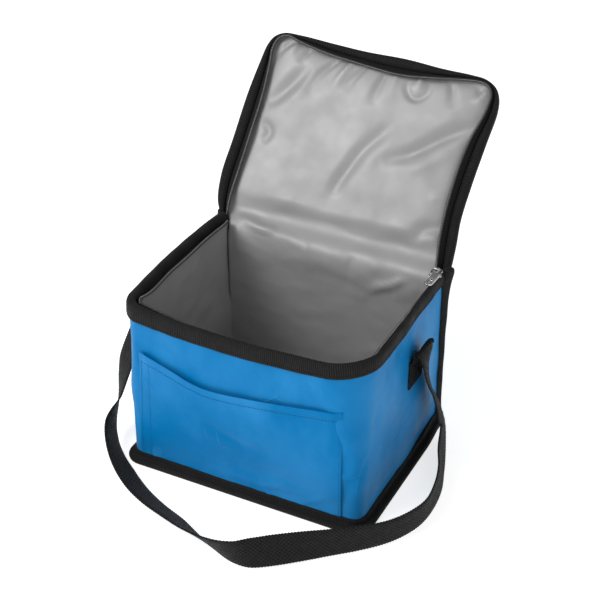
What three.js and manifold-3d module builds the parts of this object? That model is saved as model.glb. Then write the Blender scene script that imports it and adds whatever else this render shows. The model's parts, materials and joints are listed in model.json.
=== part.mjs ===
// Insulated cooler bag: foam-lined fabric box with a zipped lid that hinges on its rear
// edge, a front slip pocket and a fixed webbing shoulder strap.
// Units are millimetres, +Z up, -Y towards the front. The origin is the centre of the base,
// on the surface that the bag stands on. The lid is stored open.
import * as THREE from 'three';
import Module from 'manifold-3d';
import { mergeVertices } from 'three/addons/utils/BufferGeometryUtils.js';

// Driving dimensions
const WIDTH = 203;
const REAR_Y = 76;
const FRONT_Y = -78;
const RIM_Z = 150;
const HINGE_Y = 76;
const HINGE_Z = 150;
const LID_OPEN_DEG = 127;

// How the soft walls bow out at the rim
const FRONT_BOW = 10.5;
const LEFT_BOW = 4;

// Front corner radii of the three outlines
const BASE_CORNERS = { left: 7, right: 10 };
const RIM_CORNERS = { left: 13, right: 34 };
const LID_CORNERS = { left: 14, right: 18 };

// Lid outline, closed, a little wider than the body
const LID_LEFT_X = -106;
const LID_RIGHT_X = 102;
const LID_FRONT_Y = -79;
const LID_REAR_Y = 71;

// Layers of a wall, measured from its outer face: positive outwards
const GAP = 0.3;
const SKIN = 0.8;
const FOAM = 4;
const FOAM_OUT = -SKIN - GAP;
const FOAM_IN = FOAM_OUT - FOAM;
const LINING_OUT = FOAM_IN - GAP;
const LINING = 0.6;
const LINING_IN = LINING_OUT - LINING;
const BINDING = 1.2;
const BINDING_DROP = 12;

// Heights in the body
const BASE_PLAN_Z = 3;
const BASE_SKIN_TOP = 0.8;
const BASE_FOAM_TOP = 5.1;
const BASE_LINING_TOP = 6;
const WALL_TOP = 148.4;
const FOAM_TOP = 146;
const BACK_TOP = 143.9;
const RIM_LEG_BOTTOM = 144.2;

// Zipper
const TAPE_Z = 147.2;
const TAPE_THICKNESS = 0.6;
const COIL_RADIUS = 1.3;
const COIL_INSET = 11;
const LID_COIL_INSET = 9.5;
const SLIDER_Y = 68;
const SLIDER_LENGTH = 12;

// Heights in the closed lid
const LID_BOTTOM = 154;
const LID_TOP = 163.4;
const LID_LINING_Z = 157.2;
const LID_FOAM_Z = 158.1;
const LID_SKIN_Z = 162.4;
const LID_SKIN_TOP = 163.2;
const LID_TAPE_Z = 155.4;
const LID_LAYER_INSET = 1.5;
const LID_EDGE_THICKNESS = 1.6;

// Strap
const STRAP_WIDTH = 25.4;
const STRAP_THICKNESS = 1.5;
const STRAP_SEWN_Z = [79, 103.7];
const STRAP_SEWN_Y = { left: 20, right: 18 };

// The strap's free route: a point of its centre line, then the direction across its width
const STRAP_ROUTE = [
  [103.9, 18, 104, 0, -1, 0],
  [105.2, 18, 110.5, 0, -1, 0],
  [108.6, 16.6, 114, 0, -1, -0.05],
  [111.5, 16.4, 108, 0.1, -1, -0.1],
  [111.2, 20, 92, 0.35, -0.9, -0.25],
  [110.6, 29, 72, 0.58, -0.77, -0.28],
  [110.6, 38, 54, 0.58, -0.77, -0.25],
  [112, 46, 36, 0.4, -0.88, -0.1],
  [116, 48.5, 22, 0.2, -0.82, 0.5],
  [121, 37, 15, -0.1, -0.3, 0.96],
  [129, 14, 13.5, -0.2, -0.1, 0.97],
  [137, -8, 13.5, -0.12, -0.04, 0.99],
  [141, -30, 13.5, 0, 0, 1],
  [141, -50, 13.5, 0.1, -0.04, 1],
  [135, -68, 13.5, 0.1, -0.05, 1],
  [125, -84, 13.5, 0.08, -0.06, 1],
  [110, -99, 13.5, 0.05, 0, 1],
  [92, -113.5, 13.5, -0.05, 0.05, 1],
  [74, -127.5, 13.5, -0.15, 0.18, 0.97],
  [58, -140, 13.5, -0.2, 0.25, 0.95],
  [45, -149.5, 13.4, -0.2, 0.15, 0.96],
  [34, -154.5, 13.2, -0.12, -0.15, 0.98],
  [22.5, -155.5, 12.9, -0.13, -0.35, 0.93],
  [9.5, -153, 11.9, -0.15, -0.52, 0.84],
  [-9, -147, 10.4, -0.25, -0.65, 0.72],
  [-30, -138, 9.2, -0.25, -0.76, 0.6],
  [-52, -130, 8.8, -0.3, -0.76, 0.57],
  [-74, -119, 8.9, -0.4, -0.7, 0.58],
  [-95, -104, 9.8, -0.42, -0.62, 0.65],
  [-113, -88, 11.8, -0.35, -0.45, 0.8],
  [-126, -72, 15.2, -0.15, -0.4, 0.9],
  [-131, -60, 21, 0.2, -0.5, 0.85],
  [-131.5, -50, 31, 0.5, -0.66, 0.58],
  [-131.5, -43, 46, 0.7, -0.66, 0.25],
  [-130.5, -36, 62, 0.8, -0.58, 0.1],
  [-128, -24, 80, 0.8, -0.6, 0.1],
  [-126, -10, 95, 0.7, -0.7, 0.1],
  [-122.5, 6, 106, 0.4, -0.9, 0.05],
  [-119, 16, 112, 0.1, -1, 0],
  [-115, 19.5, 115, 0, -1, 0],
  [-110.8, 20, 113.5, 0, -1, 0],
  [-108.4, 20, 109, 0, -1, 0],
  [-107.5, 20, 104, 0, -1, 0],
];

// Colours
const BLUE = 0x0f76b4;
const BLACK = 0x1c1d1d;
const SILVER = 0xaeb0b2;
const WHITE_FOAM = 0xe9e9e4;
const NICKEL = 0xc9cacb;

const materials = {
  shell: { color: BLUE, roughness: 0.38, metalness: 0 },
  lining: { color: SILVER, roughness: 0.42, metalness: 0.1 },
  foam: { color: WHITE_FOAM, roughness: 0.95, metalness: 0 },
  binding: { color: BLACK, roughness: 0.85, metalness: 0 },
  webbing: { color: BLACK, roughness: 0.8, metalness: 0 },
  coil: { color: BLACK, roughness: 0.5, metalness: 0 },
  metal: { color: NICKEL, roughness: 0.25, metalness: 1 },
};

const model = new THREE.Group();
const lid = new THREE.Group();
lid.position.set(0, HINGE_Y, HINGE_Z);
lid.rotation.x = -THREE.MathUtils.degToRad(LID_OPEN_DEG);
model.add(lid);

function addPart(parent, name, geometry, finish) {
  const mesh = new THREE.Mesh(geometry, new THREE.MeshStandardMaterial(materials[finish]));
  mesh.name = name;
  parent.add(mesh);
  return mesh;
}

// A closed indexed geometry whose faces point out
function closedGeometry(points, triangles) {
  let volume = 0;
  for (const [a, b, c] of triangles) {
    volume += points[a].clone().cross(points[b]).dot(points[c]);
  }
  const index = triangles.flatMap(([a, b, c]) => (volume < 0 ? [a, c, b] : [a, b, c]));
  const geometry = new THREE.BufferGeometry().setFromPoints(points);
  geometry.setIndex(index);
  geometry.computeVertexNormals();
  return geometry;
}

// Joins a row of equal rings into one solid, with flat ends unless the row closes on itself
function skinRings(rings, closed = false) {
  const size = rings[0].length;
  const points = rings.flat();
  const triangles = [];
  const spans = closed ? rings.length : rings.length - 1;
  for (let i = 0; i < spans; i += 1) {
    const from = i * size;
    const to = ((i + 1) % rings.length) * size;
    for (let j = 0; j < size; j += 1) {
      const k = (j + 1) % size;
      triangles.push([from + j, from + k, to + k], [from + j, to + k, to + j]);
    }
  }
  if (!closed) {
    const flat = flatten(rings[0]);
    const cap = THREE.ShapeUtils.triangulateShape(flat, []);
    const clockwise = THREE.ShapeUtils.isClockWise(flat);
    const last = (rings.length - 1) * size;
    for (const [a, b, c] of cap) {
      const start = clockwise ? [a, b, c] : [a, c, b];
      triangles.push(start, [last + start[0], last + start[2], last + start[1]]);
    }
  }
  return closedGeometry(points, fixCaps(triangles, spans * size * 2));
}

// The end caps follow the winding of the side faces that they meet
function fixCaps(triangles, sideCount) {
  const edges = new Set();
  for (const [a, b, c] of triangles.slice(0, sideCount)) {
    edges.add(`${a}_${b}`).add(`${b}_${c}`).add(`${c}_${a}`);
  }
  const clash = triangles.slice(sideCount).some(([a, b, c]) => (
    edges.has(`${a}_${b}`) || edges.has(`${b}_${c}`) || edges.has(`${c}_${a}`)
  ));
  return triangles.map((t, i) => (clash && i >= sideCount ? [t[0], t[2], t[1]] : t));
}

// The ring's own plane coordinates, for triangulating it
function flatten(ring) {
  const origin = ring[0];
  const normal = new THREE.Vector3();
  for (let i = 1; i < ring.length - 1; i += 1) {
    const a = ring[i].clone().sub(origin);
    const b = ring[i + 1].clone().sub(origin);
    normal.add(a.cross(b));
  }
  normal.normalize();
  const across = ring[1].clone().sub(origin).normalize();
  const up = normal.clone().cross(across);
  return ring.map((p) => {
    const d = p.clone().sub(origin);
    return new THREE.Vector2(d.dot(across), d.dot(up));
  });
}

// Outlines: stations run from the rear left corner round the front to the rear right one
const SIDE_STEPS = 6;
const CORNER_STEPS = 5;
const FRONT_STEPS = 12;

function station(x, y, nx, ny) {
  return { x, y, nx, ny };
}

function outline(leftX, rightX, frontY, rearY, corners) {
  const stations = [];
  const leftStart = frontY + corners.left;
  const rightStart = frontY + corners.right;
  for (let i = 0; i < SIDE_STEPS; i += 1) {
    const y = THREE.MathUtils.lerp(rearY, leftStart, i / SIDE_STEPS);
    stations.push(station(leftX, y, -1, 0));
  }
  for (let i = 0; i < CORNER_STEPS; i += 1) {
    const angle = Math.PI * (1 + 0.5 * (i / CORNER_STEPS));
    const [nx, ny] = [Math.cos(angle), Math.sin(angle)];
    stations.push(station(leftX + corners.left * (1 + nx), leftStart + corners.left * ny, nx, ny));
  }
  for (let i = 0; i < FRONT_STEPS; i += 1) {
    const x = THREE.MathUtils.lerp(leftX + corners.left, rightX - corners.right, i / FRONT_STEPS);
    stations.push(station(x, frontY, 0, -1));
  }
  for (let i = 0; i < CORNER_STEPS; i += 1) {
    const angle = Math.PI * (1.5 + 0.5 * (i / CORNER_STEPS));
    const [nx, ny] = [Math.cos(angle), Math.sin(angle)];
    const x = rightX - corners.right * (1 - nx);
    stations.push(station(x, rightStart + corners.right * ny, nx, ny));
  }
  for (let i = 0; i <= SIDE_STEPS; i += 1) {
    const y = THREE.MathUtils.lerp(rightStart, rearY, i / SIDE_STEPS);
    stations.push(station(rightX, y, 1, 0));
  }
  return stations;
}

const WALL_REAR_Y = REAR_Y - 1.2;
const HALF_WIDTH = WIDTH / 2;
const baseOutline = outline(-HALF_WIDTH, HALF_WIDTH, FRONT_Y, WALL_REAR_Y, BASE_CORNERS);
const rimOutline = outline(-HALF_WIDTH, HALF_WIDTH, FRONT_Y, WALL_REAR_Y, RIM_CORNERS);
const lidOutline = outline(LID_LEFT_X, LID_RIGHT_X, LID_FRONT_Y, LID_REAR_Y, LID_CORNERS);

// A point of the body's wall at a station and height, moved out from the wall by offset
function wallPoint(i, z, offset) {
  const level = THREE.MathUtils.clamp(z / RIM_Z, 0, 1);
  const mix = (key) => THREE.MathUtils.lerp(baseOutline[i][key], rimOutline[i][key], level);
  const [x, y, nx, ny] = [mix('x'), mix('y'), mix('nx'), mix('ny')];
  const length = Math.hypot(nx, ny);
  const frontBow = FRONT_BOW * level * (1 - (x / HALF_WIDTH) ** 2) * Math.max(0, -ny);
  const leftBow = LEFT_BOW * level * (1 - (y / REAR_Y) ** 2) * Math.max(0, -nx);
  return new THREE.Vector3(
    x + (nx / length) * offset - leftBow,
    y + (ny / length) * offset - frontBow,
    z,
  );
}

// A point of the closed lid's edge, in the lid's own frame, whose origin is on the hinge line
function lidPoint(i, z, offset) {
  const s = lidOutline[i];
  return new THREE.Vector3(s.x + s.nx * offset, s.y + s.ny * offset - HINGE_Y, z - HINGE_Z);
}

// A profile of [offset, z] points swept round the left, front and right sides
function sweepSides(profile, point) {
  return skinRings(rimOutline.map((_, i) => profile.map(([offset, z]) => point(i, z, offset))));
}

// A layer between two heights, with a row of points at each level in between
function rectangle(outer, inner, bottom, top, levels = []) {
  const heights = [bottom, ...levels, top];
  const up = heights.map((z) => [outer, z]);
  const down = heights.map((z) => [inner, z]).reverse();
  return [...up, ...down];
}

function circle(offset, z, radius, sides = 8) {
  const points = [];
  for (let i = 0; i < sides; i += 1) {
    const angle = (2 * Math.PI * (i + 0.5)) / sides;
    points.push([offset + radius * Math.cos(angle), z + radius * Math.sin(angle)]);
  }
  return points;
}

function box(x0, x1, y0, y1, z0, z1) {
  const geometry = new THREE.BoxGeometry(x1 - x0, y1 - y0, z1 - z0);
  geometry.translate((x0 + x1) / 2, (y0 + y1) / 2, (z0 + z1) / 2);
  return geometry;
}

// A flat sheet that fills an outline, between two heights
function plate(points, bottom, top) {
  const shape = new THREE.Shape(points.map((p) => new THREE.Vector2(p.x, p.y)));
  const geometry = new THREE.ExtrudeGeometry(shape, { depth: top - bottom, bevelEnabled: false });
  geometry.translate(0, 0, bottom);
  return geometry;
}

function bodyPlan(z, offset, rearY) {
  const points = rimOutline.map((_, i) => wallPoint(i, z, offset));
  const first = points[0].clone().setY(rearY);
  const last = points[points.length - 1].clone().setY(rearY);
  return [first, ...points.slice(1, -1), last];
}

function lidPlan(offset) {
  return lidOutline.map((_, i) => lidPoint(i, 0, offset));
}

// Walls of the body, outside in
const WALL_LEVELS = [12, 40, 75, 110, 138];
const WALL_FOOT = BASE_SKIN_TOP + GAP;
const LINING_FOOT = BASE_LINING_TOP + GAP;
const wallSkin = rectangle(0, -SKIN, WALL_FOOT, WALL_TOP, WALL_LEVELS);
const wallFoam = rectangle(FOAM_OUT, FOAM_IN, WALL_FOOT, FOAM_TOP, WALL_LEVELS);
const wallLining = rectangle(LINING_OUT, LINING_IN, LINING_FOOT, WALL_TOP, WALL_LEVELS);
addPart(model, 'outer_wrap_panel', sweepSides(wallSkin, wallPoint), 'shell');
addPart(model, 'wall_foam_wrap', sweepSides(wallFoam, wallPoint), 'foam');
addPart(model, 'wall_lining_wrap', sweepSides(wallLining, wallPoint), 'lining');

// Back wall, whose layers stop short of the wrap's layers at each side
const BACK_SKIN_Y = REAR_Y - SKIN;
const BACK_FOAM_Y = BACK_SKIN_Y - GAP - FOAM;
const BACK_HALF = HALF_WIDTH + LINING_IN - GAP;
const backPanel = box(-HALF_WIDTH, HALF_WIDTH, BACK_SKIN_Y, REAR_Y, WALL_FOOT, WALL_TOP);
const backFoam = box(-BACK_HALF, BACK_HALF, BACK_FOAM_Y, BACK_SKIN_Y - GAP, LINING_FOOT, BACK_TOP);
const BACK_LINING_Y = BACK_FOAM_Y - GAP - LINING;
const backLining = box(-BACK_HALF, BACK_HALF, BACK_LINING_Y, BACK_FOAM_Y - GAP, LINING_FOOT, BACK_TOP);
addPart(model, 'outer_back_panel', backPanel, 'shell');
addPart(model, 'back_foam', backFoam, 'foam');
addPart(model, 'back_lining', backLining, 'lining');

// Base
const baseSkin = plate(bodyPlan(0, 0, REAR_Y), 0, BASE_SKIN_TOP);
const baseInside = bodyPlan(BASE_PLAN_Z, FOAM_IN - GAP, BACK_FOAM_Y + FOAM);
const baseFoam = plate(baseInside, WALL_FOOT, BASE_FOAM_TOP);
const baseLining = plate(baseInside, BASE_FOAM_TOP + GAP, BASE_LINING_TOP);
addPart(model, 'base_panel', baseSkin, 'shell');
addPart(model, 'base_foam', baseFoam, 'foam');
addPart(model, 'base_lining', baseLining, 'lining');

// Bindings. The base binding is a bound seam that stands out all round the foot.
const RING_REACH = 7;
const RING_TOP = 7.5;
const ringProfile = [
  [GAP, 0], [RING_REACH - 2, 0], [RING_REACH, 1.8], [RING_REACH, 4.4],
  [RING_REACH - 2.5, RING_TOP - 1], [GAP, RING_TOP],
];

function baseRing() {
  const rear = [
    station(HALF_WIDTH, REAR_Y, 1, 0),
    station(HALF_WIDTH, REAR_Y, Math.SQRT1_2, Math.SQRT1_2),
    station(HALF_WIDTH, REAR_Y, 0, 1),
    station(0, REAR_Y, 0, 1),
    station(-HALF_WIDTH, REAR_Y, 0, 1),
    station(-HALF_WIDTH, REAR_Y, -Math.SQRT1_2, Math.SQRT1_2),
    station(-HALF_WIDTH, REAR_Y, -1, 0),
  ];
  const rings = [];
  for (let i = 0; i < baseOutline.length; i += 1) {
    rings.push(ringProfile.map(([offset, z]) => wallPoint(i, z, offset)));
  }
  for (const s of rear) {
    rings.push(ringProfile.map(([offset, z]) => (
      new THREE.Vector3(s.x + s.nx * offset, s.y + s.ny * offset, z)
    )));
  }
  return skinRings(rings, true);
}

addPart(model, 'base_binding', baseRing(), 'binding');

const RIM_INNER = LINING_IN - GAP - 1;
const rimProfile = [
  [GAP, RIM_Z - BINDING_DROP],
  [GAP + BINDING, RIM_Z - BINDING_DROP],
  [GAP + BINDING, RIM_Z - 0.6],
  [GAP + BINDING - 0.6, RIM_Z],
  [RIM_INNER + 0.6, RIM_Z],
  [RIM_INNER, RIM_Z - 0.6],
  [RIM_INNER, RIM_LEG_BOTTOM],
  [LINING_IN - GAP, RIM_LEG_BOTTOM],
  [LINING_IN - GAP, WALL_TOP + GAP],
  [GAP, WALL_TOP + GAP],
];
addPart(model, 'rim_binding', sweepSides(rimProfile, wallPoint), 'binding');

const CORNER_BAR = 5.6;
for (const side of [-1, 1]) {
  const [x0, x1] = [side * (HALF_WIDTH - 4), side * (HALF_WIDTH + CORNER_BAR - 4)];
  const shape = new THREE.Shape([
    new THREE.Vector2(x0, REAR_Y + GAP),
    new THREE.Vector2(x1 - side * 1.6, REAR_Y + GAP),
    new THREE.Vector2(x1, REAR_Y + 1.4),
    new THREE.Vector2(x1 - side * 1.2, REAR_Y + 3.4),
    new THREE.Vector2(x0, REAR_Y + 2.6),
  ]);
  const depth = WALL_TOP - RING_TOP - 2 * GAP;
  const bar = new THREE.ExtrudeGeometry(shape, { depth, bevelEnabled: false });
  bar.translate(0, 0, RING_TOP + GAP);
  addPart(model, `rear_binding_${side < 0 ? 'left' : 'right'}`, bar, 'binding');
}

// Zipper half on the body: tape folded in over the rim, coil on its inner edge
function tapeStrip(outer, coilInset, z) {
  const inner = -coilInset + COIL_RADIUS + GAP;
  return rectangle(outer, inner, z - TAPE_THICKNESS / 2, z + TAPE_THICKNESS / 2);
}

const bodyTape = tapeStrip(RIM_INNER - GAP, COIL_INSET, TAPE_Z);
const bodyCoil = circle(-COIL_INSET, TAPE_Z, COIL_RADIUS);
addPart(model, 'zipper_tape_body', sweepSides(bodyTape, wallPoint), 'binding');
addPart(model, 'zipper_coil_body', sweepSides(bodyCoil, wallPoint), 'coil');

// Front slip pocket: a panel that stands off the wrap a little at its mouth
const POCKET_LEFT = -94;
const POCKET_RIGHT = 83;
const POCKET_BOTTOM = 9;
const POCKET_TOP = 105;
const POCKET_GAP = 8;
const SEWN_GAP = 0.4;

function frontFaceY(x, z) {
  const level = z / RIM_Z;
  return FRONT_Y - FRONT_BOW * level * (1 - (x / HALF_WIDTH) ** 2);
}

function pocketPanel() {
  const columns = 16;
  const rows = 6;
  const rings = [];
  for (let i = 0; i <= columns; i += 1) {
    const u = i / columns;
    const x = THREE.MathUtils.lerp(POCKET_LEFT, POCKET_RIGHT, u);
    const point = (v, thickness) => {
      const z = THREE.MathUtils.lerp(POCKET_BOTTOM, POCKET_TOP, v);
      const swell = Math.sin(Math.PI * u) ** 0.6 * Math.min(1, 1.5 * v);
      return new THREE.Vector3(x, frontFaceY(x, z) - SEWN_GAP - POCKET_GAP * swell - thickness, z);
    };
    const outer = [];
    const inner = [];
    for (let j = 0; j <= rows; j += 1) {
      outer.push(point(j / rows, SKIN));
      inner.unshift(point(j / rows, 0));
    }
    rings.push([...outer, ...inner]);
  }
  return skinRings(rings);
}

addPart(model, 'front_pocket', pocketPanel(), 'shell');

// Strap: two sewn ends on the side walls and the free webbing between them
const strapHalf = STRAP_WIDTH / 2;

function sewnEnd(side) {
  const rows = 5;
  const sewnY = side < 0 ? STRAP_SEWN_Y.left : STRAP_SEWN_Y.right;
  const wallX = (y, z) => {
    const bow = side < 0 ? LEFT_BOW * (z / RIM_Z) * (1 - (y / REAR_Y) ** 2) : 0;
    return side * (HALF_WIDTH + SEWN_GAP + bow);
  };
  const rings = [];
  for (let i = 0; i <= rows; i += 1) {
    const z = THREE.MathUtils.lerp(STRAP_SEWN_Z[0], STRAP_SEWN_Z[1], i / rows);
    const corners = [[-strapHalf, 0], [0, 0], [strapHalf, 0],
      [strapHalf, STRAP_THICKNESS], [0, STRAP_THICKNESS], [-strapHalf, STRAP_THICKNESS]];
    rings.push(corners.map(([dy, out]) => {
      const y = sewnY + dy;
      return new THREE.Vector3(wallX(y, z) + side * out, y, z);
    }));
  }
  return skinRings(rings);
}

addPart(model, 'strap_end_left', sewnEnd(-1), 'webbing');
addPart(model, 'strap_end_right', sewnEnd(1), 'webbing');

function webbing(route, steps) {
  const centre = new THREE.CatmullRomCurve3(route.map(([x, y, z]) => new THREE.Vector3(x, y, z)));
  const across = new THREE.CatmullRomCurve3(route.map((p) => new THREE.Vector3(p[3], p[4], p[5])));
  const rings = [];
  for (let i = 0; i <= steps; i += 1) {
    const t = i / steps;
    const tangent = centre.getTangent(t);
    const width = across.getPoint(t);
    width.addScaledVector(tangent, -width.dot(tangent)).normalize();
    const face = tangent.clone().cross(width);
    const middle = centre.getPoint(t);
    const corner = (w, h) => middle.clone()
      .addScaledVector(width, w * strapHalf)
      .addScaledVector(face, h * (STRAP_THICKNESS / 2));
    rings.push([corner(-1, -1), corner(1, -1), corner(1, 1), corner(-1, 1)]);
  }
  return skinRings(rings);
}

addPart(model, 'shoulder_strap', webbing(STRAP_ROUTE, 80), 'webbing');

// Lid, built closed in its own frame and turned open by its group
const lidInside = lidPlan(-LID_LAYER_INSET);
const lidSkin = plate(lidPlan(0), LID_SKIN_Z - HINGE_Z, LID_SKIN_TOP - HINGE_Z);
const lidFoam = plate(lidInside, LID_FOAM_Z - HINGE_Z, LID_FOAM_Z + FOAM - HINGE_Z);
const lidLining = plate(lidInside, LID_LINING_Z - HINGE_Z, LID_LINING_Z + LINING - HINGE_Z);
const lidGusset = rectangle(GAP + LID_EDGE_THICKNESS, GAP, LID_BOTTOM, LID_TOP);
const lidTape = tapeStrip(0, LID_COIL_INSET, LID_TAPE_Z);
const lidCoil = circle(-LID_COIL_INSET, LID_TAPE_Z, COIL_RADIUS);
addPart(lid, 'lid_outer_panel', lidSkin, 'shell');
addPart(lid, 'lid_foam', lidFoam, 'foam');
addPart(lid, 'lid_lining', lidLining, 'lining');
addPart(lid, 'lid_gusset_binding', sweepSides(lidGusset, lidPoint), 'binding');
addPart(lid, 'zipper_tape_lid', sweepSides(lidTape, lidPoint), 'binding');
addPart(lid, 'zipper_coil_lid', sweepSides(lidCoil, lidPoint), 'coil');

// Zipper slider: a channel round the body coil, with a tongue that carries the pull's post
const COIL_X = HALF_WIDTH - COIL_INSET;
const POST_X = 98;
const TONGUE_Z = 151.4;
const CHANNEL_WALL = 1.2;
const CHANNEL_SLACK = 0.4;

const wasm = await Module();
wasm.setup();

function toManifold(geometry) {
  const plain = geometry.clone();
  plain.deleteAttribute('normal');
  plain.deleteAttribute('uv');
  const merged = mergeVertices(plain, 1e-4);
  return new wasm.Manifold(new wasm.Mesh({
    numProp: 3,
    vertProperties: new Float32Array(merged.attributes.position.array),
    triVerts: new Uint32Array(merged.index.array),
  }));
}

function fromManifold(solid) {
  const mesh = solid.getMesh();
  const geometry = new THREE.BufferGeometry();
  geometry.setAttribute('position', new THREE.BufferAttribute(mesh.vertProperties, 3));
  geometry.setIndex(new THREE.BufferAttribute(mesh.triVerts, 1));
  geometry.computeVertexNormals();
  return geometry;
}

function post(radius, bottom, top) {
  const geometry = new THREE.CylinderGeometry(radius, radius, top - bottom, 16);
  geometry.rotateX(Math.PI / 2);
  geometry.translate(POST_X, SLIDER_Y, (bottom + top) / 2);
  return geometry;
}

function sliderBody() {
  const wall = COIL_X - COIL_RADIUS - GAP;
  const lip = COIL_X + 3;
  const floor = TAPE_Z - COIL_RADIUS - CHANNEL_SLACK;
  const ceiling = TAPE_Z + COIL_RADIUS + CHANNEL_SLACK;
  const profile = new THREE.Shape([
    new THREE.Vector2(wall - CHANNEL_WALL, floor - CHANNEL_WALL),
    new THREE.Vector2(lip, floor - CHANNEL_WALL),
    new THREE.Vector2(lip, floor),
    new THREE.Vector2(wall, floor),
    new THREE.Vector2(wall, ceiling),
    new THREE.Vector2(lip, ceiling),
    new THREE.Vector2(lip, RIM_Z + GAP),
    new THREE.Vector2(POST_X + 3, RIM_Z + GAP),
    new THREE.Vector2(POST_X + 3, TONGUE_Z),
    new THREE.Vector2(wall - CHANNEL_WALL, TONGUE_Z),
  ]);
  const channel = new THREE.ExtrudeGeometry(profile, { depth: SLIDER_LENGTH, bevelEnabled: false });
  channel.rotateX(Math.PI / 2);
  channel.translate(0, SLIDER_Y + SLIDER_LENGTH / 2, 0);
  const stem = post(1, TONGUE_Z - 0.5, 153);
  const head = post(2, 152.9, 153.5);
  return fromManifold(toManifold(channel).add(toManifold(stem)).add(toManifold(head)));
}

// Zipper pull: a flat tab with an eye for the post and a slot near its free end
const PULL_LENGTH = 25;
const PULL_WIDTH = 7.4;
const PULL_Z = [151.7, 152.7];
const PULL_YAW_DEG = -3;

function pullTab() {
  const half = PULL_WIDTH / 2;
  const shape = new THREE.Shape();
  shape.absarc(0, 0, 3, 0, Math.PI, false);
  shape.lineTo(-half, -PULL_LENGTH + 6);
  shape.absarc(0, -PULL_LENGTH + half + 1, half, Math.PI, 2 * Math.PI, false);
  const eye = new THREE.Path().absarc(0, 0, 1.35, 0, 2 * Math.PI, true);
  const slot = new THREE.Path();
  slot.absarc(0, -PULL_LENGTH + 5, 1.5, Math.PI, 2 * Math.PI, false);
  slot.absarc(0, -PULL_LENGTH + 9, 1.5, 0, Math.PI, false);
  shape.holes.push(eye, slot);
  const depth = PULL_Z[1] - PULL_Z[0];
  const tab = new THREE.ExtrudeGeometry(shape, { depth, bevelEnabled: false, curveSegments: 10 });
  tab.translate(0, 0, PULL_Z[0]);
  return tab;
}

addPart(model, 'zipper_slider', sliderBody(), 'metal');
const pull = addPart(model, 'zipper_pull', pullTab(), 'metal');
pull.rotation.z = THREE.MathUtils.degToRad(PULL_YAW_DEG);
pull.position.set(POST_X, SLIDER_Y, 0);

export default model;
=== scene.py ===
"""Looks of an insulated cooler bag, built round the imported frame.

Shapes are worked out in millimetres and turned into metres when a mesh is made. The bag stands on
the floor at z = 0 with its front towards -Y. The lid has coordinates of its own: x along the hinge,
s up the lid from the hinge, and n out of its lined face.
"""

import json
import math

import bpy
import numpy as np
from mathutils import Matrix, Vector, noise


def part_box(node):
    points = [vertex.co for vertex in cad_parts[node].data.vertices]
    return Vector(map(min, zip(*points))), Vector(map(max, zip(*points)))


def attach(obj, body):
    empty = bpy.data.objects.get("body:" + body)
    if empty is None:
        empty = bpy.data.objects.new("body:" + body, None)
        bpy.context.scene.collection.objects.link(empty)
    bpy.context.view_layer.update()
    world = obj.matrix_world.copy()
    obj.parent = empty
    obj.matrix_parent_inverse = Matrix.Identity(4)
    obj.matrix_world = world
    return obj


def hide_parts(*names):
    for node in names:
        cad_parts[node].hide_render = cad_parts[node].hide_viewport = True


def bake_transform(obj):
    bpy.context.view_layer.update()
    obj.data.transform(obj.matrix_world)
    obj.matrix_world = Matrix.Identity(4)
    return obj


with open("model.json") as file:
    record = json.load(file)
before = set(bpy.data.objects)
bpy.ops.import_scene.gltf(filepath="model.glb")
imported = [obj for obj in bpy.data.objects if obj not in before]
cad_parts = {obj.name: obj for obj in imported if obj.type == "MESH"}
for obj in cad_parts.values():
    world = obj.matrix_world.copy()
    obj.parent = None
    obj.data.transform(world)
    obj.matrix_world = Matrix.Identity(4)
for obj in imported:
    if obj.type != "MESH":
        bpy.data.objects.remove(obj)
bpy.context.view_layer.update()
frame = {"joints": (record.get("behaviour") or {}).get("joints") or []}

MM = 0.001


# ---------------------------------------------------------------- camera
def place_camera():
    azimuth, elevation = math.radians(26.7), math.radians(33.15)
    back = Vector((
        math.sin(azimuth) * math.cos(elevation),
        -math.cos(azimuth) * math.cos(elevation),
        math.sin(elevation),
    ))
    data = bpy.data.cameras.new("camera")
    data.sensor_width = 36
    data.lens = 92.19
    camera = bpy.data.objects.new("camera", data)
    camera.location = (0.4583, -0.8911, 0.7905)
    camera.rotation_euler = (-back).to_track_quat("-Z", "Y").to_euler()
    bpy.context.scene.collection.objects.link(camera)
    bpy.context.scene.camera = camera


place_camera()


# ---------------------------------------------------------------- curves and fields
def curve(rows, per_span):
    """A smooth curve through the rows, with per_span points from each row to the next."""
    rows = np.asarray(rows, float)
    ends = np.vstack([2 * rows[0] - rows[1], rows, 2 * rows[-1] - rows[-2]])
    t = np.linspace(0, 1, per_span, endpoint=False)[:, None]
    spans = []
    for a, b, c, d in zip(ends, ends[1:], ends[2:], ends[3:]):
        k0, k1, k2 = (max(np.linalg.norm(q - p), 1e-6) ** 0.5 for p, q in ((a, b), (b, c), (c, d)))
        m1 = k1 * ((b - a) / k0 - (c - a) / (k0 + k1) + (c - b) / k1)
        m2 = k1 * ((c - b) / k1 - (d - b) / (k1 + k2) + (d - c) / k2)
        cubic = 2 * (b - c) + m1 + m2
        spans.append(b + m1 * t + (3 * (c - b) - 2 * m1 - m2) * t**2 + cubic * t**3)
    return np.vstack(spans + [rows[-1:]])


def lengths(rows, columns=3):
    """Distance along a row of points, from its start."""
    steps = np.linalg.norm(np.diff(rows[:, :columns], axis=0), axis=1)
    return np.concatenate([[0], np.cumsum(steps)])


def sample(rows, along, wanted):
    """The rows at the wanted distances, where along holds the distance of each row."""
    return np.column_stack([np.interp(wanted, along, column) for column in rows.T])


def resample(rows, count, columns=3):
    """The same line with count rows, evenly spaced along its first columns."""
    along = lengths(rows, columns)
    return sample(rows, along, np.linspace(0, along[-1], count))


def unit(rows):
    return rows / np.linalg.norm(rows, axis=1, keepdims=True)


def turn_steps(count):
    """Angles of count even steps round a full turn."""
    return np.linspace(0, 2 * np.pi, count + 1)[:-1]


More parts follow.
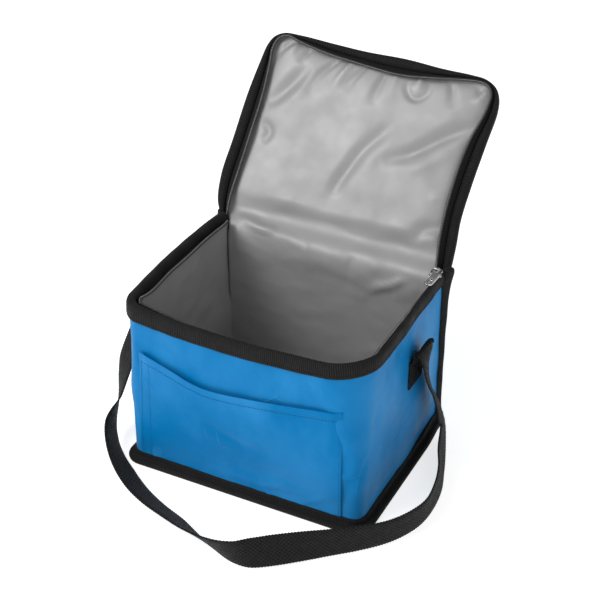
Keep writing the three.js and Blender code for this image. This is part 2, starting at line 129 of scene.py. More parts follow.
def smoothstep(low, high, value):
    t = np.clip((value - low) / (high - low), 0, 1)
    return t * t * (3 - 2 * t)


def rough(x, y, size, seed=0.0, z=0.0):
    """Smooth noise from about -1 to 1, with hills of that size."""
    x, y, z = np.broadcast_arrays(np.asarray(x, float), y, z)
    flat = [
        noise.noise(Vector((a / size + seed, b / size - seed, c / size + 0.37)))
        for a, b, c in zip(x.ravel(), y.ravel(), z.ravel())
    ]
    return 1.7 * np.array(flat).reshape(x.shape)


def fold(x, y, path, width, height, seam=False):
    """A ridge along a path, or a valley where height is negative, fading at both ends. One that starts
    at a seam is narrow and full height there, and widens as it fades."""
    line = curve(path, 5)
    best = np.full(np.shape(x), 1e9)
    along = np.zeros(np.shape(x))
    for k, (a, b) in enumerate(zip(line, line[1:])):
        ab = b - a
        t = np.clip(((x - a[0]) * ab[0] + (y - a[1]) * ab[1]) / (ab @ ab), 0, 1)
        away = np.hypot(x - a[0] - t * ab[0], y - a[1] - t * ab[1])
        closer = away < best
        best = np.where(closer, away, best)
        along = np.where(closer, (k + t) / (len(line) - 1), along)
    if seam:
        return height * (1 - along) ** 0.8 * np.exp(-((best / (width * (0.4 + 0.9 * along))) ** 2))
    return height * np.sin(np.pi * np.clip(along, 0.02, 0.98)) ** 0.7 * np.exp(-((best / width) ** 2))


def add_folds(h, x, y, rows):
    """h with folds added. Each row is a fold's path, width and height, and True for one at a seam."""
    for row in rows:
        h = h + fold(x, y, *row)
    return h


# ---------------------------------------------------------------- materials
class Look:
    """A Principled material with short ways to add and join nodes."""

    def __init__(self, name, roughness, **sockets):
        self.material = bpy.data.materials.new(name)
        self.material.use_nodes = True
        self.tree = self.material.node_tree
        self.shader = self.tree.nodes["Principled BSDF"]
        self.shader.inputs["Roughness"].default_value = roughness
        for key, value in sockets.items():
            self.shader.inputs[key.replace("_", " ")].default_value = value
        self.cloth = self.add("UVMap", uv_map="cloth").outputs["UV"]

    def add(self, kind, inputs=None, **settings):
        node = self.tree.nodes.new("ShaderNode" + kind)
        for key, value in settings.items():
            setattr(node, key, value)
        for key, value in (inputs or {}).items():
            if isinstance(value, bpy.types.NodeSocket):
                self.tree.links.new(value, node.inputs[key])
            else:
                node.inputs[key].default_value = value
        return node

    def math(self, operation, a, b=0.0, c=0.0):
        return self.add("Math", {0: a, 1: b, 2: c}, operation=operation).outputs[0]

    def noise(self, scale, detail=3.0, rough=0.5, stretch=(1, 1, 1)):
        mapped = self.add("Mapping", {"Vector": self.cloth, "Scale": stretch}).outputs[0]
        inputs = {"Vector": mapped, "Scale": scale, "Detail": detail, "Roughness": rough}
        return self.add("TexNoise", inputs).outputs["Fac"]

    def spread(self, value, low, high, to_low, to_high):
        inputs = {"Value": value, "From Min": low, "From Max": high, "To Min": to_low, "To Max": to_high}
        return self.add("MapRange", inputs).outputs["Result"]

    def ramp(self, value, *stops):
        node = self.add("ValToRGB", {"Fac": value})
        elements = node.color_ramp.elements
        while len(elements) < len(stops):
            elements.new(0.5)
        for element, (place, color) in zip(elements, stops):
            element.position = place
            element.color = (*color, 1)
        return node.outputs["Color"]

    def mix(self, amount, a, b, blend="MIX"):
        node = self.add("Mix", data_type="RGBA", blend_type=blend)
        for key, value in (("Factor", amount), ("A", a), ("B", b)):
            socket = next(s for s in node.inputs if s.name == key and s.enabled)
            if isinstance(value, bpy.types.NodeSocket):
                self.tree.links.new(value, socket)
            else:
                socket.default_value = value if key == "Factor" else (*value, 1)
        return next(s for s in node.outputs if s.enabled)

    def waves(self, axis, pitch):
        """From 0 to 1 and back over each pitch, in metres, along the cloth's length (0) or width (1)."""
        split = self.add("SeparateXYZ", {0: self.cloth}).outputs[axis]
        turned = self.math("MULTIPLY", split, 2 * math.pi / pitch)
        return self.math("MULTIPLY_ADD", self.math("SINE", turned), 0.5, 0.5)

    def color(self, value):
        if isinstance(value, bpy.types.NodeSocket):
            self.tree.links.new(value, self.shader.inputs["Base Color"])
        else:
            self.shader.inputs["Base Color"].default_value = (*value, 1)

    def rough(self, value):
        self.tree.links.new(value, self.shader.inputs["Roughness"])

    def bump(self, height, distance, strength=1.0):
        node = self.add("Bump", {"Height": height, "Distance": distance, "Strength": strength})
        if self.shader.inputs["Normal"].links:
            self.tree.links.new(self.shader.inputs["Normal"].links[0].from_socket, node.inputs["Normal"])
        self.tree.links.new(node.outputs["Normal"], self.shader.inputs["Normal"])


def shell_look():
    """Blue coated nylon: a fine plain weave under a smooth coat with faint handling creases. Its colour is
    painted sheen: broad lighter and darker patches stand in for the coat's reflections.
    """
    look = Look("shell_nylon", 0.4, Specular_IOR_Level=0.06)
    # painted sheen: broad patches of lighter and darker blue that stand in for the coat's reflections
    patches = look.noise(11, 4, 0.55, (1, 0.7, 1))
    base = look.ramp(patches, (0.42, (0.0, 0.15, 0.385)), (0.66, (0.02, 0.215, 0.50)))
    # a lighter blue along fine crease lines in scattered areas; the same lines are bumped below
    creases = look.add("TexVoronoi", {"Vector": look.cloth, "Scale": 42.0}, feature="DISTANCE_TO_EDGE")
    lines = look.spread(creases.outputs["Distance"], 0.0, 0.03, 1.0, 0.0)
    mask = look.spread(look.noise(30, 2), 0.55, 0.7, 0.0, 1.0)
    crease_lines = look.math("MULTIPLY", lines, mask)
    look.color(look.mix(look.math("MULTIPLY", crease_lines, 0.25), base, (0.05, 0.27, 0.56)))
    look.rough(look.spread(look.noise(60, 4), 0.3, 0.7, 0.34, 0.46))
    weave = look.math("MULTIPLY", look.waves(0, 0.0007), look.waves(1, 0.0007))
    look.bump(look.noise(90, 5, 0.6), 0.0010, 0.5)
    look.bump(crease_lines, 0.0006, 0.6)
    look.bump(weave, 0.00004, 0.5)
    return look.material


def lining_look():
    """Silver-grey soft film with fine wrinkles and a dull metallic sheen."""
    look = Look("lining_film", 0.5, Specular_IOR_Level=0.4, Metallic=0.2)
    patches = look.noise(14, 4)
    look.color(look.ramp(patches, (0.3, (0.285, 0.284, 0.284)), (0.7, (0.33, 0.329, 0.329))))
    look.rough(look.spread(look.noise(50, 4), 0.3, 0.7, 0.46, 0.6))
    look.bump(look.noise(38, 5, 0.55, (1, 0.6, 1)), 0.0010, 0.22)
    look.bump(look.noise(400, 2), 0.00008, 0.4)
    return look.material


def ribbed_look(name, pitch, depth, dark, light, weft=0.0):
    """Black ribbed tape or webbing: ribs across its width, and threads along it. Its colour is painted shade
    and highlight, darker in the valleys of the weave and lighter on its tops, with random fuzz.
    """
    look = Look(name, 0.75, Specular_IOR_Level=0.15, Sheen_Weight=0.06, Sheen_Roughness=0.4)
    look.shader.inputs["Sheen Tint"].default_value = (0.5, 0.52, 0.55, 1)
    ribs = look.waves(0, pitch)
    height = ribs
    if weft:
        threads = look.waves(1, weft)
        both = look.math("MULTIPLY", ribs, threads)
        height = look.math("MULTIPLY_ADD", both, -2.0, look.math("ADD", ribs, threads))
    fuzz = look.noise(900, 2)
    # painted shade in the rib valleys and painted highlight on the rib tops, mixed with random fuzz tone
    shade = look.math("MULTIPLY_ADD", fuzz, 0.35, look.math("MULTIPLY", height, 0.65))
    look.color(look.ramp(shade, (0.15, dark), (0.85, light)))
    look.rough(look.spread(look.noise(200, 2), 0.3, 0.7, 0.68, 0.85))
    look.bump(height, depth, 0.8)
    look.bump(fuzz, 0.00008, 0.5)
    return look.material


def coil_look():
    look = Look("nylon_coil", 0.3, Specular_IOR_Level=0.9)
    look.color(look.ramp(look.noise(500, 2), (0.3, (0.012, 0.012, 0.013)), (0.7, (0.022, 0.022, 0.024))))
    look.bump(look.noise(1500, 2), 0.00003, 0.4)
    return look.material


def metal_look():
    """Bright nickel plate with slight casting ripple and uneven tone."""
    look = Look("nickel", 0.18, Metallic=1.0)
    look.color(look.ramp(look.noise(260, 3), (0.3, (0.4, 0.4, 0.41)), (0.7, (0.56, 0.56, 0.56))))
    look.rough(look.spread(look.noise(420, 3), 0.3, 0.7, 0.14, 0.28))
    look.bump(look.noise(600, 3), 0.00006, 0.4)
    return look.material


def thread_look(name, dark, light):
    look = Look(name, 0.7, Specular_IOR_Level=0.2)
    # painted shade and highlight: darker in the twist's grooves and lighter on its ridges, in step with the
    # bump
    look.color(look.ramp(look.waves(0, 0.0006), (0.2, dark), (0.8, light)))
    look.bump(look.waves(0, 0.0006), 0.0001, 0.6)
    return look.material


def foam_look():
    look = Look("foam", 0.9)
    cells = look.add("TexVoronoi", {"Vector": look.cloth, "Scale": 900.0}).outputs["Distance"]
    # painted shade: each cell's pit darker than its walls, in step with the bump
    look.color(look.ramp(cells, (0.1, (0.7, 0.7, 0.66)), (0.6, (0.84, 0.84, 0.8))))
    look.bump(cells, 0.0003, 0.5)
    return look.material


SHELL = shell_look()
LINING = lining_look()
# The dark and light colours of each ribbed tape are its painted rib shade and its painted rib highlight.
GROSGRAIN = ribbed_look(
    "grosgrain_binding", 0.0016, 0.00035, (0.002, 0.002, 0.002), (0.017, 0.017, 0.0165)
)
TAPE = ribbed_look("zipper_tape", 0.0009, 0.00015, (0.003, 0.003, 0.003), (0.014, 0.014, 0.014), 0.0014)
WEBBING = ribbed_look("webbing", 0.0036, 0.0005, (0.001, 0.001, 0.001), (0.016, 0.016, 0.016), 0.0032)
COIL = coil_look()
NICKEL = metal_look()
# The blue thread is darker than the cloth: partly its own colour, partly painted shade of the stitch holes.
BLUE_THREAD = thread_look("blue_thread", (0.0, 0.10, 0.27), (0.0, 0.14, 0.36))
BLACK_THREAD = thread_look("black_thread", (0.003, 0.003, 0.003), (0.012, 0.012, 0.012))
FOAM = foam_look()


# ---------------------------------------------------------------- meshes
def make_piece(name, points, faces, uvs, look, body=None):
    """A smooth-shaded mesh from points in millimetres. uvs holds each face's corners, in millimetres."""
    mesh = bpy.data.meshes.new(name)
    mesh.from_pydata((np.asarray(points) * MM).tolist(), [], faces)
    layer = mesh.uv_layers.new(name="cloth")
    layer.data.foreach_set("uv", np.array([c for face in uvs for c in face], float).ravel() * MM)
    mesh.polygons.foreach_set("use_smooth", [True] * len(mesh.polygons))
    mesh.materials.append(look)
    mesh.update()
    piece = bpy.data.objects.new(name, mesh)
    bpy.context.scene.collection.objects.link(piece)
    if body:
        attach(piece, body)
    return piece


def volume(points, faces):
    total = 0.0
    for face in faces:
        a = points[face[0]]
        for i in range(1, len(face) - 1):
            total += np.dot(a, np.cross(points[face[i]], points[face[i + 1]]))
    return total


def loft_data(rings, loop=False):
    """Points, faces and corner uvs of a solid whose cross-sections are the rings."""
    rings = np.asarray(rings, float)
    count, size = rings.shape[:2]
    middle = rings.mean(axis=1)
    if loop:
        middle = np.vstack([middle, middle[:1]])
    u = lengths(middle)
    around = np.linalg.norm(np.roll(rings, -1, axis=1) - rings, axis=2).mean(axis=0)
    v = np.concatenate([[0], np.cumsum(around)])
    points = rings.reshape(-1, 3)
    faces, uvs = [], []
    for i in range(count if loop else count - 1):
        start, end = i * size, ((i + 1) % count) * size
        for j in range(size):
            k = (j + 1) % size
            faces.append([start + j, start + k, end + k, end + j])
            uvs.append([(u[i], v[j]), (u[i], v[j + 1]), (u[i + 1], v[j + 1]), (u[i + 1], v[j])])
    if not loop:
        for first, order in ((0, -1), ((count - 1) * size, 1)):
            face = [first + j for j in range(size)][::order]
            faces.append(face)
            uvs.append([(0.0, v[j - first]) for j in face])
    if volume(points, faces) < 0:
        faces = [face[::-1] for face in faces]
        uvs = [corners[::-1] for corners in uvs]
    return points, faces, uvs


def loft(name, rings, look, body=None, loop=False):
    return make_piece(name, *loft_data(rings, loop), look, body)


def normals(grid):
    """Unit normals of a grid of points, rows by columns."""
    across = np.gradient(grid, axis=1)
    up = np.gradient(grid, axis=0)
    n = np.cross(across, up)
    return n / np.maximum(np.linalg.norm(n, axis=2, keepdims=True), 1e-9)


def slab(name, face, under, look, body=None):
    """A closed solid between two grids of points."""
    return loft(name, np.concatenate([face, under[::-1]]).transpose(1, 0, 2), look, body)


def foam_pad(name, face, under, body, node):
    pad = slab(name, face, under, FOAM, body)
    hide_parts(node)


def cloth_piece(name, grid, thickness, look, body=None):
    """A sheet of cloth from a grid of points: a closed solid of that thickness under the grid."""
    return slab(name, grid, grid - normals(grid) * thickness, look, body)


def stretched_cloth(nodes):
    """Hides the frame's parts for a sheet of cloth that is sewn in all round."""
    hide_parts(*nodes)


def join_data(parts):
    """Several (points, faces, uvs) as one."""
    points, faces, uvs, start = [], [], [], 0
    for p, f, t in parts:
        points.append(p)
        faces += [[i + start for i in face] for face in f]
        uvs += t
        start += len(p)
    return np.vstack(points), faces, uvs


def frames_along(line, up):
    """Tangent, side and up directions along a line, with up as near as it can be to the one given."""
    tangent = unit(np.gradient(line, axis=0))
    side = unit(np.cross(tangent, up))
    return tangent, side, np.cross(side, tangent)


def stitch_row(line, up, pitch, share=0.62, radius=0.28):
    """Thread along a line: short rounded stitches with a gap after each. up is one direction or a row
    of them."""
    up = np.broadcast_to(up, line.shape)
    along = lengths(line)
    sizes = radius * np.array([0.35, 0.9, 1.0, 0.9, 0.35])
    lift = radius * np.array([-0.5, 0.3, 0.6, 0.3, -0.5])
    parts = []
    for k in range(int(along[-1] / pitch)):
        ends = (k + 0.5 * (1 - share)) * pitch, (k + 0.5 * (1 + share)) * pitch
        wanted = np.linspace(*ends, 5)
        middle = sample(line, along, wanted)
        _, side, top = frames_along(middle, sample(up, along, wanted))
        rings = [
            [m + t * h + r * (math.cos(a) * s + math.sin(a) * t) for a in turn_steps(6)]
            for m, s, t, r, h in zip(middle, side, top, sizes, lift)
        ]
        parts.append(loft_data(rings))
    return join_data(parts)


# ---------------------------------------------------------------- shoulder strap
STRAP_WIDTH = 25.4
STRAP_THICKNESS = 1.5

# A point of the strap's centre line, then the direction across its width
STRAP_ROUTE = [
    (103.9, 18, 104, 0, -1, 0),
    (105.2, 18, 110.5, 0, -1, 0),
    (108.6, 16.6, 114, 0, -1, -0.05),
    (111.5, 16.4, 108, 0.1, -1, -0.1),
    (111.2, 20, 92, 0.35, -0.9, -0.25),
    (110.6, 29, 72, 0.58, -0.77, -0.28),
    (110.6, 38, 54, 0.58, -0.77, -0.25),
    (112, 46, 36, 0.4, -0.88, -0.1),
    (116, 48.5, 22, 0.2, -0.82, 0.5),
    (121, 37, 15, -0.1, -0.3, 0.96),
    (129, 14, 13.5, -0.2, -0.1, 0.97),
    (137, -8, 13.5, -0.12, -0.04, 0.99),
    (141, -30, 13.5, 0, 0, 1),
    (141, -50, 13.5, 0.1, -0.04, 1),
    (135, -68, 13.5, 0.1, -0.05, 1),
    (125, -84, 13.5, 0.08, -0.06, 1),
    (110, -99, 13.5, 0.05, 0, 1),
    (92, -113.5, 13.5, -0.05, 0.05, 1),
    (74, -127.5, 13.5, -0.15, 0.18, 0.97),
    (58, -140, 13.5, -0.2, 0.25, 0.95),
    (45, -149.5, 13.4, -0.2, 0.15, 0.96),
    (34, -154.5, 13.2, -0.12, -0.15, 0.98),
    (22.5, -155.5, 12.9, -0.13, -0.35, 0.93),
    (9.5, -153, 11.9, -0.15, -0.52, 0.84),
    (-9, -147, 10.4, -0.25, -0.65, 0.72),
    (-30, -138, 9.2, -0.25, -0.76, 0.6),
    (-52, -130, 8.8, -0.3, -0.76, 0.57),
    (-74, -119, 8.9, -0.4, -0.7, 0.58),
    (-95, -104, 9.8, -0.42, -0.62, 0.65),
    (-113, -88, 11.8, -0.35, -0.45, 0.8),
    (-126, -72, 15.2, -0.15, -0.4, 0.9),
    (-131, -60, 21, 0.2, -0.5, 0.85),
    (-131.5, -50, 31, 0.5, -0.66, 0.58),
    (-131.5, -43, 46, 0.7, -0.66, 0.25),
    (-130.5, -36, 62, 0.8, -0.58, 0.1),
    (-128, -24, 80, 0.8, -0.6, 0.1),
    (-126, -10, 95, 0.7, -0.7, 0.1),
    (-122.5, 6, 106, 0.4, -0.9, 0.05),
    (-119, 16, 112, 0.1, -1, 0),
    (-115, 19.5, 115, 0, -1, 0),
    (-110.8, 20, 113.5, 0, -1, 0),
    (-108.4, 20, 109, 0, -1, 0),
    (-107.5, 20, 104, 0, -1, 0),
]
RIB_PITCH = 2.4


def webbing_rings(centre, across):
    """Cross-sections of webbing whose ribs show along its faces and edges."""
    tangent = unit(np.gradient(centre, axis=0))
    across = unit(across - tangent * np.sum(across * tangent, axis=1, keepdims=True))
    face = np.cross(tangent, across)
    rib = 0.5 - 0.5 * np.cos(2 * np.pi * lengths(centre) / RIB_PITCH)
    half = STRAP_WIDTH / 2
    thick = STRAP_THICKNESS / 2
    widths = np.array([-1, -0.97, -0.6, -0.2, 0.2, 0.6, 0.97, 1])
    rings = []
    for c, a, f, r in zip(centre, across, face, rib):
        edge = np.where(np.abs(widths) > 0.9, -0.5 * (1 - r), 0.0)
        w = widths * half + np.sign(widths) * edge
        h = thick * np.where(np.abs(widths) > 0.99, 0.35, 0.78 + 0.22 * r)
        top = [c + a * wi + f * hi for wi, hi in zip(w, h)]
        bottom = [c + a * wi - f * hi for wi, hi in zip(w, h)]
        rings.append(top + bottom[::-1])
    return np.array(rings)


def make_strap():
    route = np.array(STRAP_ROUTE, float)
    centre = curve(route[:, :3], 30)
    across = curve(route[:, 3:], 30)
    length = lengths(centre)[-1]
    both = resample(np.column_stack([centre, across]), int(length / RIB_PITCH * 4))
    rings = webbing_rings(both[:, :3], both[:, 3:])
    strap = loft("strap_webbing", rings, WEBBING, "bag")
    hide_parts("shoulder_strap")


make_strap()


# ---------------------------------------------------------------- body walls
HALF_WIDTH, REAR_Y = (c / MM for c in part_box("outer_back_panel")[1][:2])
RIM_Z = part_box("rim_binding")[1][2] / MM
FRONT_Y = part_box("base_panel")[0][1] / MM
WALL_DEPTH = 6.4
SHELL_THICKNESS = 0.6
LINING_THICKNESS = 0.4


def plan(left, right, front, rear, left_radius, right_radius):
    """A U of points from the rear left corner round the front to the rear right one."""
    side = np.linspace(0, 1, 26)[:-1]
    arc = np.linspace(0, np.pi / 2, 15)[:-1]
    across = np.linspace(0, 1, 56)[:-1]
    x = np.concatenate([
        np.full(25, left),
        left + left_radius * (1 - np.cos(arc)),
        left + left_radius + across * (right - right_radius - left - left_radius),
        right - right_radius * (1 - np.sin(arc)),
        np.full(26, right),
    ])
    y = np.concatenate([
        rear + side * (front + left_radius - rear),
        front + left_radius * (1 - np.sin(arc)),
        np.full(55, front),
        front + right_radius * (1 - np.cos(arc)),
        np.append(front + right_radius + side * (rear - front - right_radius), rear),
    ])
    return x, y


FOOT_PLAN = plan(-HALF_WIDTH + 1.5, HALF_WIDTH - 0.5, FRONT_Y - 1.5, REAR_Y - 0.8, 7, 9)
RIM_PLAN = plan(-HALF_WIDTH, HALF_WIDTH - 0.5, FRONT_Y, REAR_Y - 0.8, 13, 32)


def unrolled():
    """Distance along the wall from the middle of the front, negative to the left, for each column."""
    x, y = FOOT_PLAN
    along = lengths(np.column_stack([x, y]), 2)
    return along - np.interp(0, x[30:100], along[30:100])


ALONG = unrolled()
LEFT_EDGE = ALONG[32]
RIGHT_EDGE = ALONG[101]


def wall_grid(heights, offset, dents=None):
    """Points of the wall, one row per height, moved out by offset, with dents(along, z) added."""
    rows = []
    for z in heights:
        level = np.clip(z / RIM_Z, 0, 1)
        x, y = ((1 - level) * a + level * b for a, b in zip(FOOT_PLAN, RIM_PLAN))
        tangent = unit(np.gradient(np.column_stack([x, y]), axis=0))
        nx, ny = tangent[:, 1], -tangent[:, 0]
        to_front = np.clip(-ny, 0, 1)
        to_left = np.clip(-nx, 0, 1)
        to_right = np.clip(nx, 0, 1)
        y = y - 9.0 * level * to_front * np.clip(1 - ((x + 6) / HALF_WIDTH) ** 2, 0, 1)
        x = x - 4.0 * level * to_left * np.clip(1 - (y / REAR_Y) ** 2, 0, 1)
        x = x - level**3 * to_right * 2.0 * smoothstep(-20, 25, y)
        x = x - (to_right - to_left) * 2.2 * (1 - level**4) * smoothstep(36, 75, y)
        move = offset + 1.6 * math.sin(math.pi * level) * to_front
        if dents is not None:
            move = move + dents(ALONG, z)
        rows.append(np.column_stack([x + nx * move, y + ny * move, np.full(len(x), z)]))
    return np.array(rows)


def shell_dents(a, z):
    """Soft relief of the coated outer cloth."""
    zz = np.full(np.shape(a), z)
    h = 0.9 * rough(a, zz, 46, 3.1) + 0.4 * rough(a, zz, 19, 7.7)
    corner = RIGHT_EDGE
    return np.maximum(add_folds(h, a, zz, [
        ([(corner - 9, 122), (corner - 2, 78), (corner - 1, 40), (corner, 6)], 3.0, 1.8),
        ([(corner - 22, 52), (corner - 8, 50), (corner, 52)], 2.2, 0.8),
        ([(corner + 12, 70), (corner + 1, 52), (corner - 8, 30)], 2.4, -1.3),
        ([(corner + 4, 132), (corner + 10, 95), (corner + 9, 60)], 5.0, -1.4),
        *[([(place, 139), (place + 2, 139 - reach)], 3.0, height, True) for place, reach, height
          in ((-62, 9, 0.6), (-48, 13, -0.5), (-30, 8, 0.5), (2, 11, -0.4), (60, 12, 0.5))],
        *[([(corner + step, 137), (corner + step + 8 * math.sin(corner + step), 96)], 4.5, -0.8, True)
          for step in (28, 52, 70, 104, 124)],
        *[([(place, 8), (place + 7, 24)], 4.0, 0.7, True)
          for place in (-80, -20, 24, 70, corner + 20, corner + 60)],
    ]), -1.4)


def lining_dents(a, z):
    """Soft relief of the loose lining, with folds that hang from the rim."""
    zz = np.full(np.shape(a), z)
    h = 1.3 * rough(a, 0.6 * zz, 30, 11.3) + 0.6 * rough(a, zz, 13, 5.2) - 0.5
    for k in range(15):
        place = LEFT_EDGE - 140 + 33 * k
        lean = 14 * math.sin(3.7 * k)
        height = 2.0 * math.cos(2.1 * k)
        h = h + fold(a, zz, [(place, 147), (place + lean, 60 + 30 * math.sin(k))], 5, height, seam=True)
    return np.minimum(h, 0.5) * smoothstep(149, 138, zz)


# How far the rim's tapes reach in: all the way on the left, less on the right
REACH = np.interp(
    ALONG, [LEFT_EDGE - 10, LEFT_EDGE + 30, RIGHT_EDGE - 30, RIGHT_EDGE + 15], [1, 0.85, 0.5, 0.3]
)


def lining_offset(z):
    """The lining stands off the shell by the foam, and closes up to the shell under the rim."""
    return -WALL_DEPTH + (WALL_DEPTH - 5.4 * REACH) * smoothstep(122, 144, z)


def make_walls():
    heights = np.linspace(3, 148.5, 74)
    outer = cloth_piece("outer_wrap", wall_grid(heights, 0, shell_dents), SHELL_THICKNESS, SHELL, "bag")
    stretched_cloth(["outer_wrap_panel"])

    heights = np.linspace(1.2, 126, 16)
    foam_pad("wall_foam", wall_grid(heights, -2.2), wall_grid(heights, -4.6), "bag", "wall_foam_wrap")

    heights = np.linspace(5.5, 147.5, 66)
    grid = np.array([wall_grid([z], lining_offset(z), lining_dents)[0] for z in heights])
    lining = cloth_piece("wall_lining", grid, -LINING_THICKNESS, LINING, "bag")
    stretched_cloth(["wall_lining_wrap"])


make_walls()


# ---------------------------------------------------------------- lid coordinates
HINGE = next(j for j in frame["joints"] if j["name"] == "lid_hinge")
HINGE_Y, HINGE_Z = HINGE["pos_m"][1] / MM, HINGE["pos_m"][2] / MM
OPEN = math.radians(HINGE["range_deg"][1])
S_Y, S_Z = -math.cos(OPEN), math.sin(OPEN)


def lid_point(x, s, n):
    """A point of the open lid in the row frame: x along the hinge, s up the lid, n out of its lining."""
    x, s, n = np.broadcast_arrays(np.asarray(x, float), s, n)
    return np.stack([x, HINGE_Y + S_Y * s - S_Z * n, HINGE_Z + S_Z * s + S_Y * n], axis=-1)


# The lid's edge round from the left end of the hinge: x and s of the outer edge, then of the coil
LID_EDGE = [
    (-99, -4, -97, -6),
    (-106.5, 1, -98, 3),
    (-112, 11, -99, 15),
    (-115, 32, -98.5, 34),
    (-113.5, 62, -97, 62),
    (-111.5, 105, -95.7, 104),
    (-108.5, 130, -97, 130),
    (-105.5, 147, -98.5, 145),
    (-101, 154.8, -95.5, 153.5),
    (-93, 159.3, -88, 157),
    (-78, 160, -76, 153.8),
    (-48, 158.6, -47, 148.5),
    (-17, 157.5, -15, 145.5),
    (18, 158, 16, 143.5),
    (50, 156.3, 45, 146.3),
    (76, 156, 70, 150),
    (88, 154.8, 84, 151.3),
    (96.5, 150.5, 91.5, 149.7),
    (101.3, 143, 96.2, 144),
    (103.5, 131, 96, 130),
    (101.5, 104, 89.5, 103),
    (99.2, 72, 86.5, 72),
    (98.2, 41, 86.3, 42),
    (100.2, 20, 88, 20),
    (101, 0, 91.4, 0),
    (100, -6, 92, -6),
]
LID_BACK = -13.2
LID_FRONT = -4.8
COIL_N = -2.6
GROOVE_SHARE = 0.58

lid_edge = resample(curve(LID_EDGE, 12), 320, 2)
EDGE, COIL_LINE = lid_edge[:, :2], lid_edge[:, 2:4]
GROOVE = EDGE + GROOVE_SHARE * (COIL_LINE - EDGE)


def lid_bounds(line):
    """Left x and right x as functions of s, and top s as a function of x, of a line round the lid."""
    top_left = np.argmax(line[:, 1] - line[:, 0] * 0.6)
    top_right = np.argmax(line[:, 1] + line[:, 0] * 0.6)
    left, top, right = line[: top_left + 1], line[top_left : top_right + 1], line[top_right:][::-1]
    return (
        lambda s: np.interp(s, left[:, 1], left[:, 0]),
        lambda s: np.interp(s, right[:, 1], right[:, 0]),
        lambda x: np.interp(x, top[:, 0], top[:, 1]),
    )


def edge_distance(x):
    """Each point's distance from the nearer side of its row of a grid."""
    return np.minimum(x - x.min(axis=1, keepdims=True), x.max(axis=1, keepdims=True) - x)


def folded_panel(profile, low_half, line, inset, s_start, n, columns, rows_low, rows_lid):
    """A grid of points (x, path, s) for cloth that runs up the back wall and on into the lid. It gives
    the grid in the row frame, and each point's x and its distance along the cloth."""
    left_x, right_x, top_s = lid_bounds(line)
    path = resample(curve(profile, 10), rows_low, 2)
    along = lengths(path, 2)
    share = np.linspace(0, 1, columns)
    rows, across, up = [], [], []
    lid_left, lid_right = left_x(s_start) + inset, right_x(s_start) - inset
    for (y, z), a in zip(path, along):
        mix = smoothstep(along[-1] - 24, along[-1], a)
        left, right = (1 - mix) * -low_half + mix * lid_left, (1 - mix) * low_half + mix * lid_right
        x = left + share * (right - left)
        rows.append(np.column_stack([x, np.full(columns, y), np.full(columns, z)]))
        across.append(x)
        up.append(np.full(columns, a))
    top = top_s(left_x(140) + share * (right_x(140) - left_x(140)))
    for _ in range(3):
        left, right = left_x(top - inset), right_x(top - inset)
        top = top_s(left + inset + share * (right - left - 2 * inset))
    for r in np.linspace(0, 1, rows_lid + 1)[1:]:
        s = s_start + r * (top - 0.7 * inset - s_start)
        left, right = left_x(s) + inset, right_x(s) - inset
        x = left + share * (right - left)
        rows.append(lid_point(x, s, n))
        across.append(x)
        up.append(along[-1] + s - s_start)
    return np.array(rows), np.array(across), np.array(up), along[-1]


def lid_relief(x, s):
    """Folds of the lid's lining: pleats from the front seam, long slanting folds and soft hollows."""
    h = 0.9 * rough(x, s, 42, 2.2) + 0.4 * rough(x, s, 17, 9.4)
    slants = [
        ([(-60, 138), (-78, 112), (-92, 96)], 8, -2.4),
        ([(-48, 140), (-62, 118), (-74, 100)], 7, 1.6),
        ([(24, 104), (4, 78), (-8, 52), (-14, 34)], 7, -2.6),
        ([(34, 98), (16, 74), (6, 50)], 8, 1.4),
        ([(92, 118), (68, 102), (42, 82), (22, 72)], 7, -2.4),
        ([(80, 92), (58, 76), (44, 68)], 6, 1.4),
        ([(74, 122), (60, 108)], 9, 1.2),
        ([(-92, 84), (-82, 76), (-86, 64)], 5, -1.8),
        ([(88, 56), (76, 54), (70, 50)], 5, 1.6),
        ([(90, 32), (72, 26), (66, 12)], 7, -1.8),
        ([(-70, 40), (-30, 28), (20, 34)], 14, -0.8),
    ]
    h = add_folds(h, x, s, [
        (path, 0.8 * width, (1.7 if height < 0 else 0.7) * height) for path, width, height in slants
    ])
    pleats = [
        (-86, 152, -12, -20, -1.8), (-78, 152, -6, -12, 1.6), (-66, 150, -6, -14, -1.4),
        (-38, 148, -22, -34, -2.0), (-26, 146, -12, -28, 1.6), (-14, 145, -12, -24, -1.8),
        (4, 144, -4, -30, -1.8), (14, 144, 0, -24, 0.8), (35, 146, 0, -13, 1.6),
        (60, 147, 8, -22, -1.2), (84, 150, 4, -14, -1.6), (92, 146, -6, -14, 1.4),
    ]
    h = add_folds(h, x, s, [
        ([(px, ps), (px + 0.6 * dx, ps + 0.5 * ds), (px + dx, ps + ds)], 4.0, 2.2 * height, True)
        for px, ps, dx, ds, height in pleats
    ])
    return h + fold(x, s, [(25, 147), (26, 134), (34, 127), (43, 133), (45, 147)], 2.6, -2.6)


def hinge_relief(x, up):
    """Level creases where the lining turns from the back wall into the lid. up is measured along it."""
    h = 0.6 * rough(x, up, 34, 4.4) + 0.3 * rough(x, 2.0 * up, 16, 1.7)
    return add_folds(h, x, up, [
        ([(-92, 157), (-40, 150), (20, 152), (92, 148)], 10, -1.0),
        ([(-88, 146), (-64, 140), (-50, 143)], 4, 3.0),
        ([(-84, 140), (-58, 131), (-30, 128)], 5, -2.6),
        ([(-30, 126), (30, 120), (86, 128)], 12, 0.8),
        ([(40, 112), (66, 96), (88, 100)], 9, -1.8),
        *[([(88, 142), (62, 0.5 * (low + 142)), (36, low)], 5, height)
          for low, height in ((120, -2.2), (108, 2.0), (96, -1.6))],
        *[([(21 * k - 84, 134), (21 * k - 84 + 9 * math.sin(2.3 * k), 92)], 6, math.cos(1.9 * k), True)
          for k in range(9)],
    ])


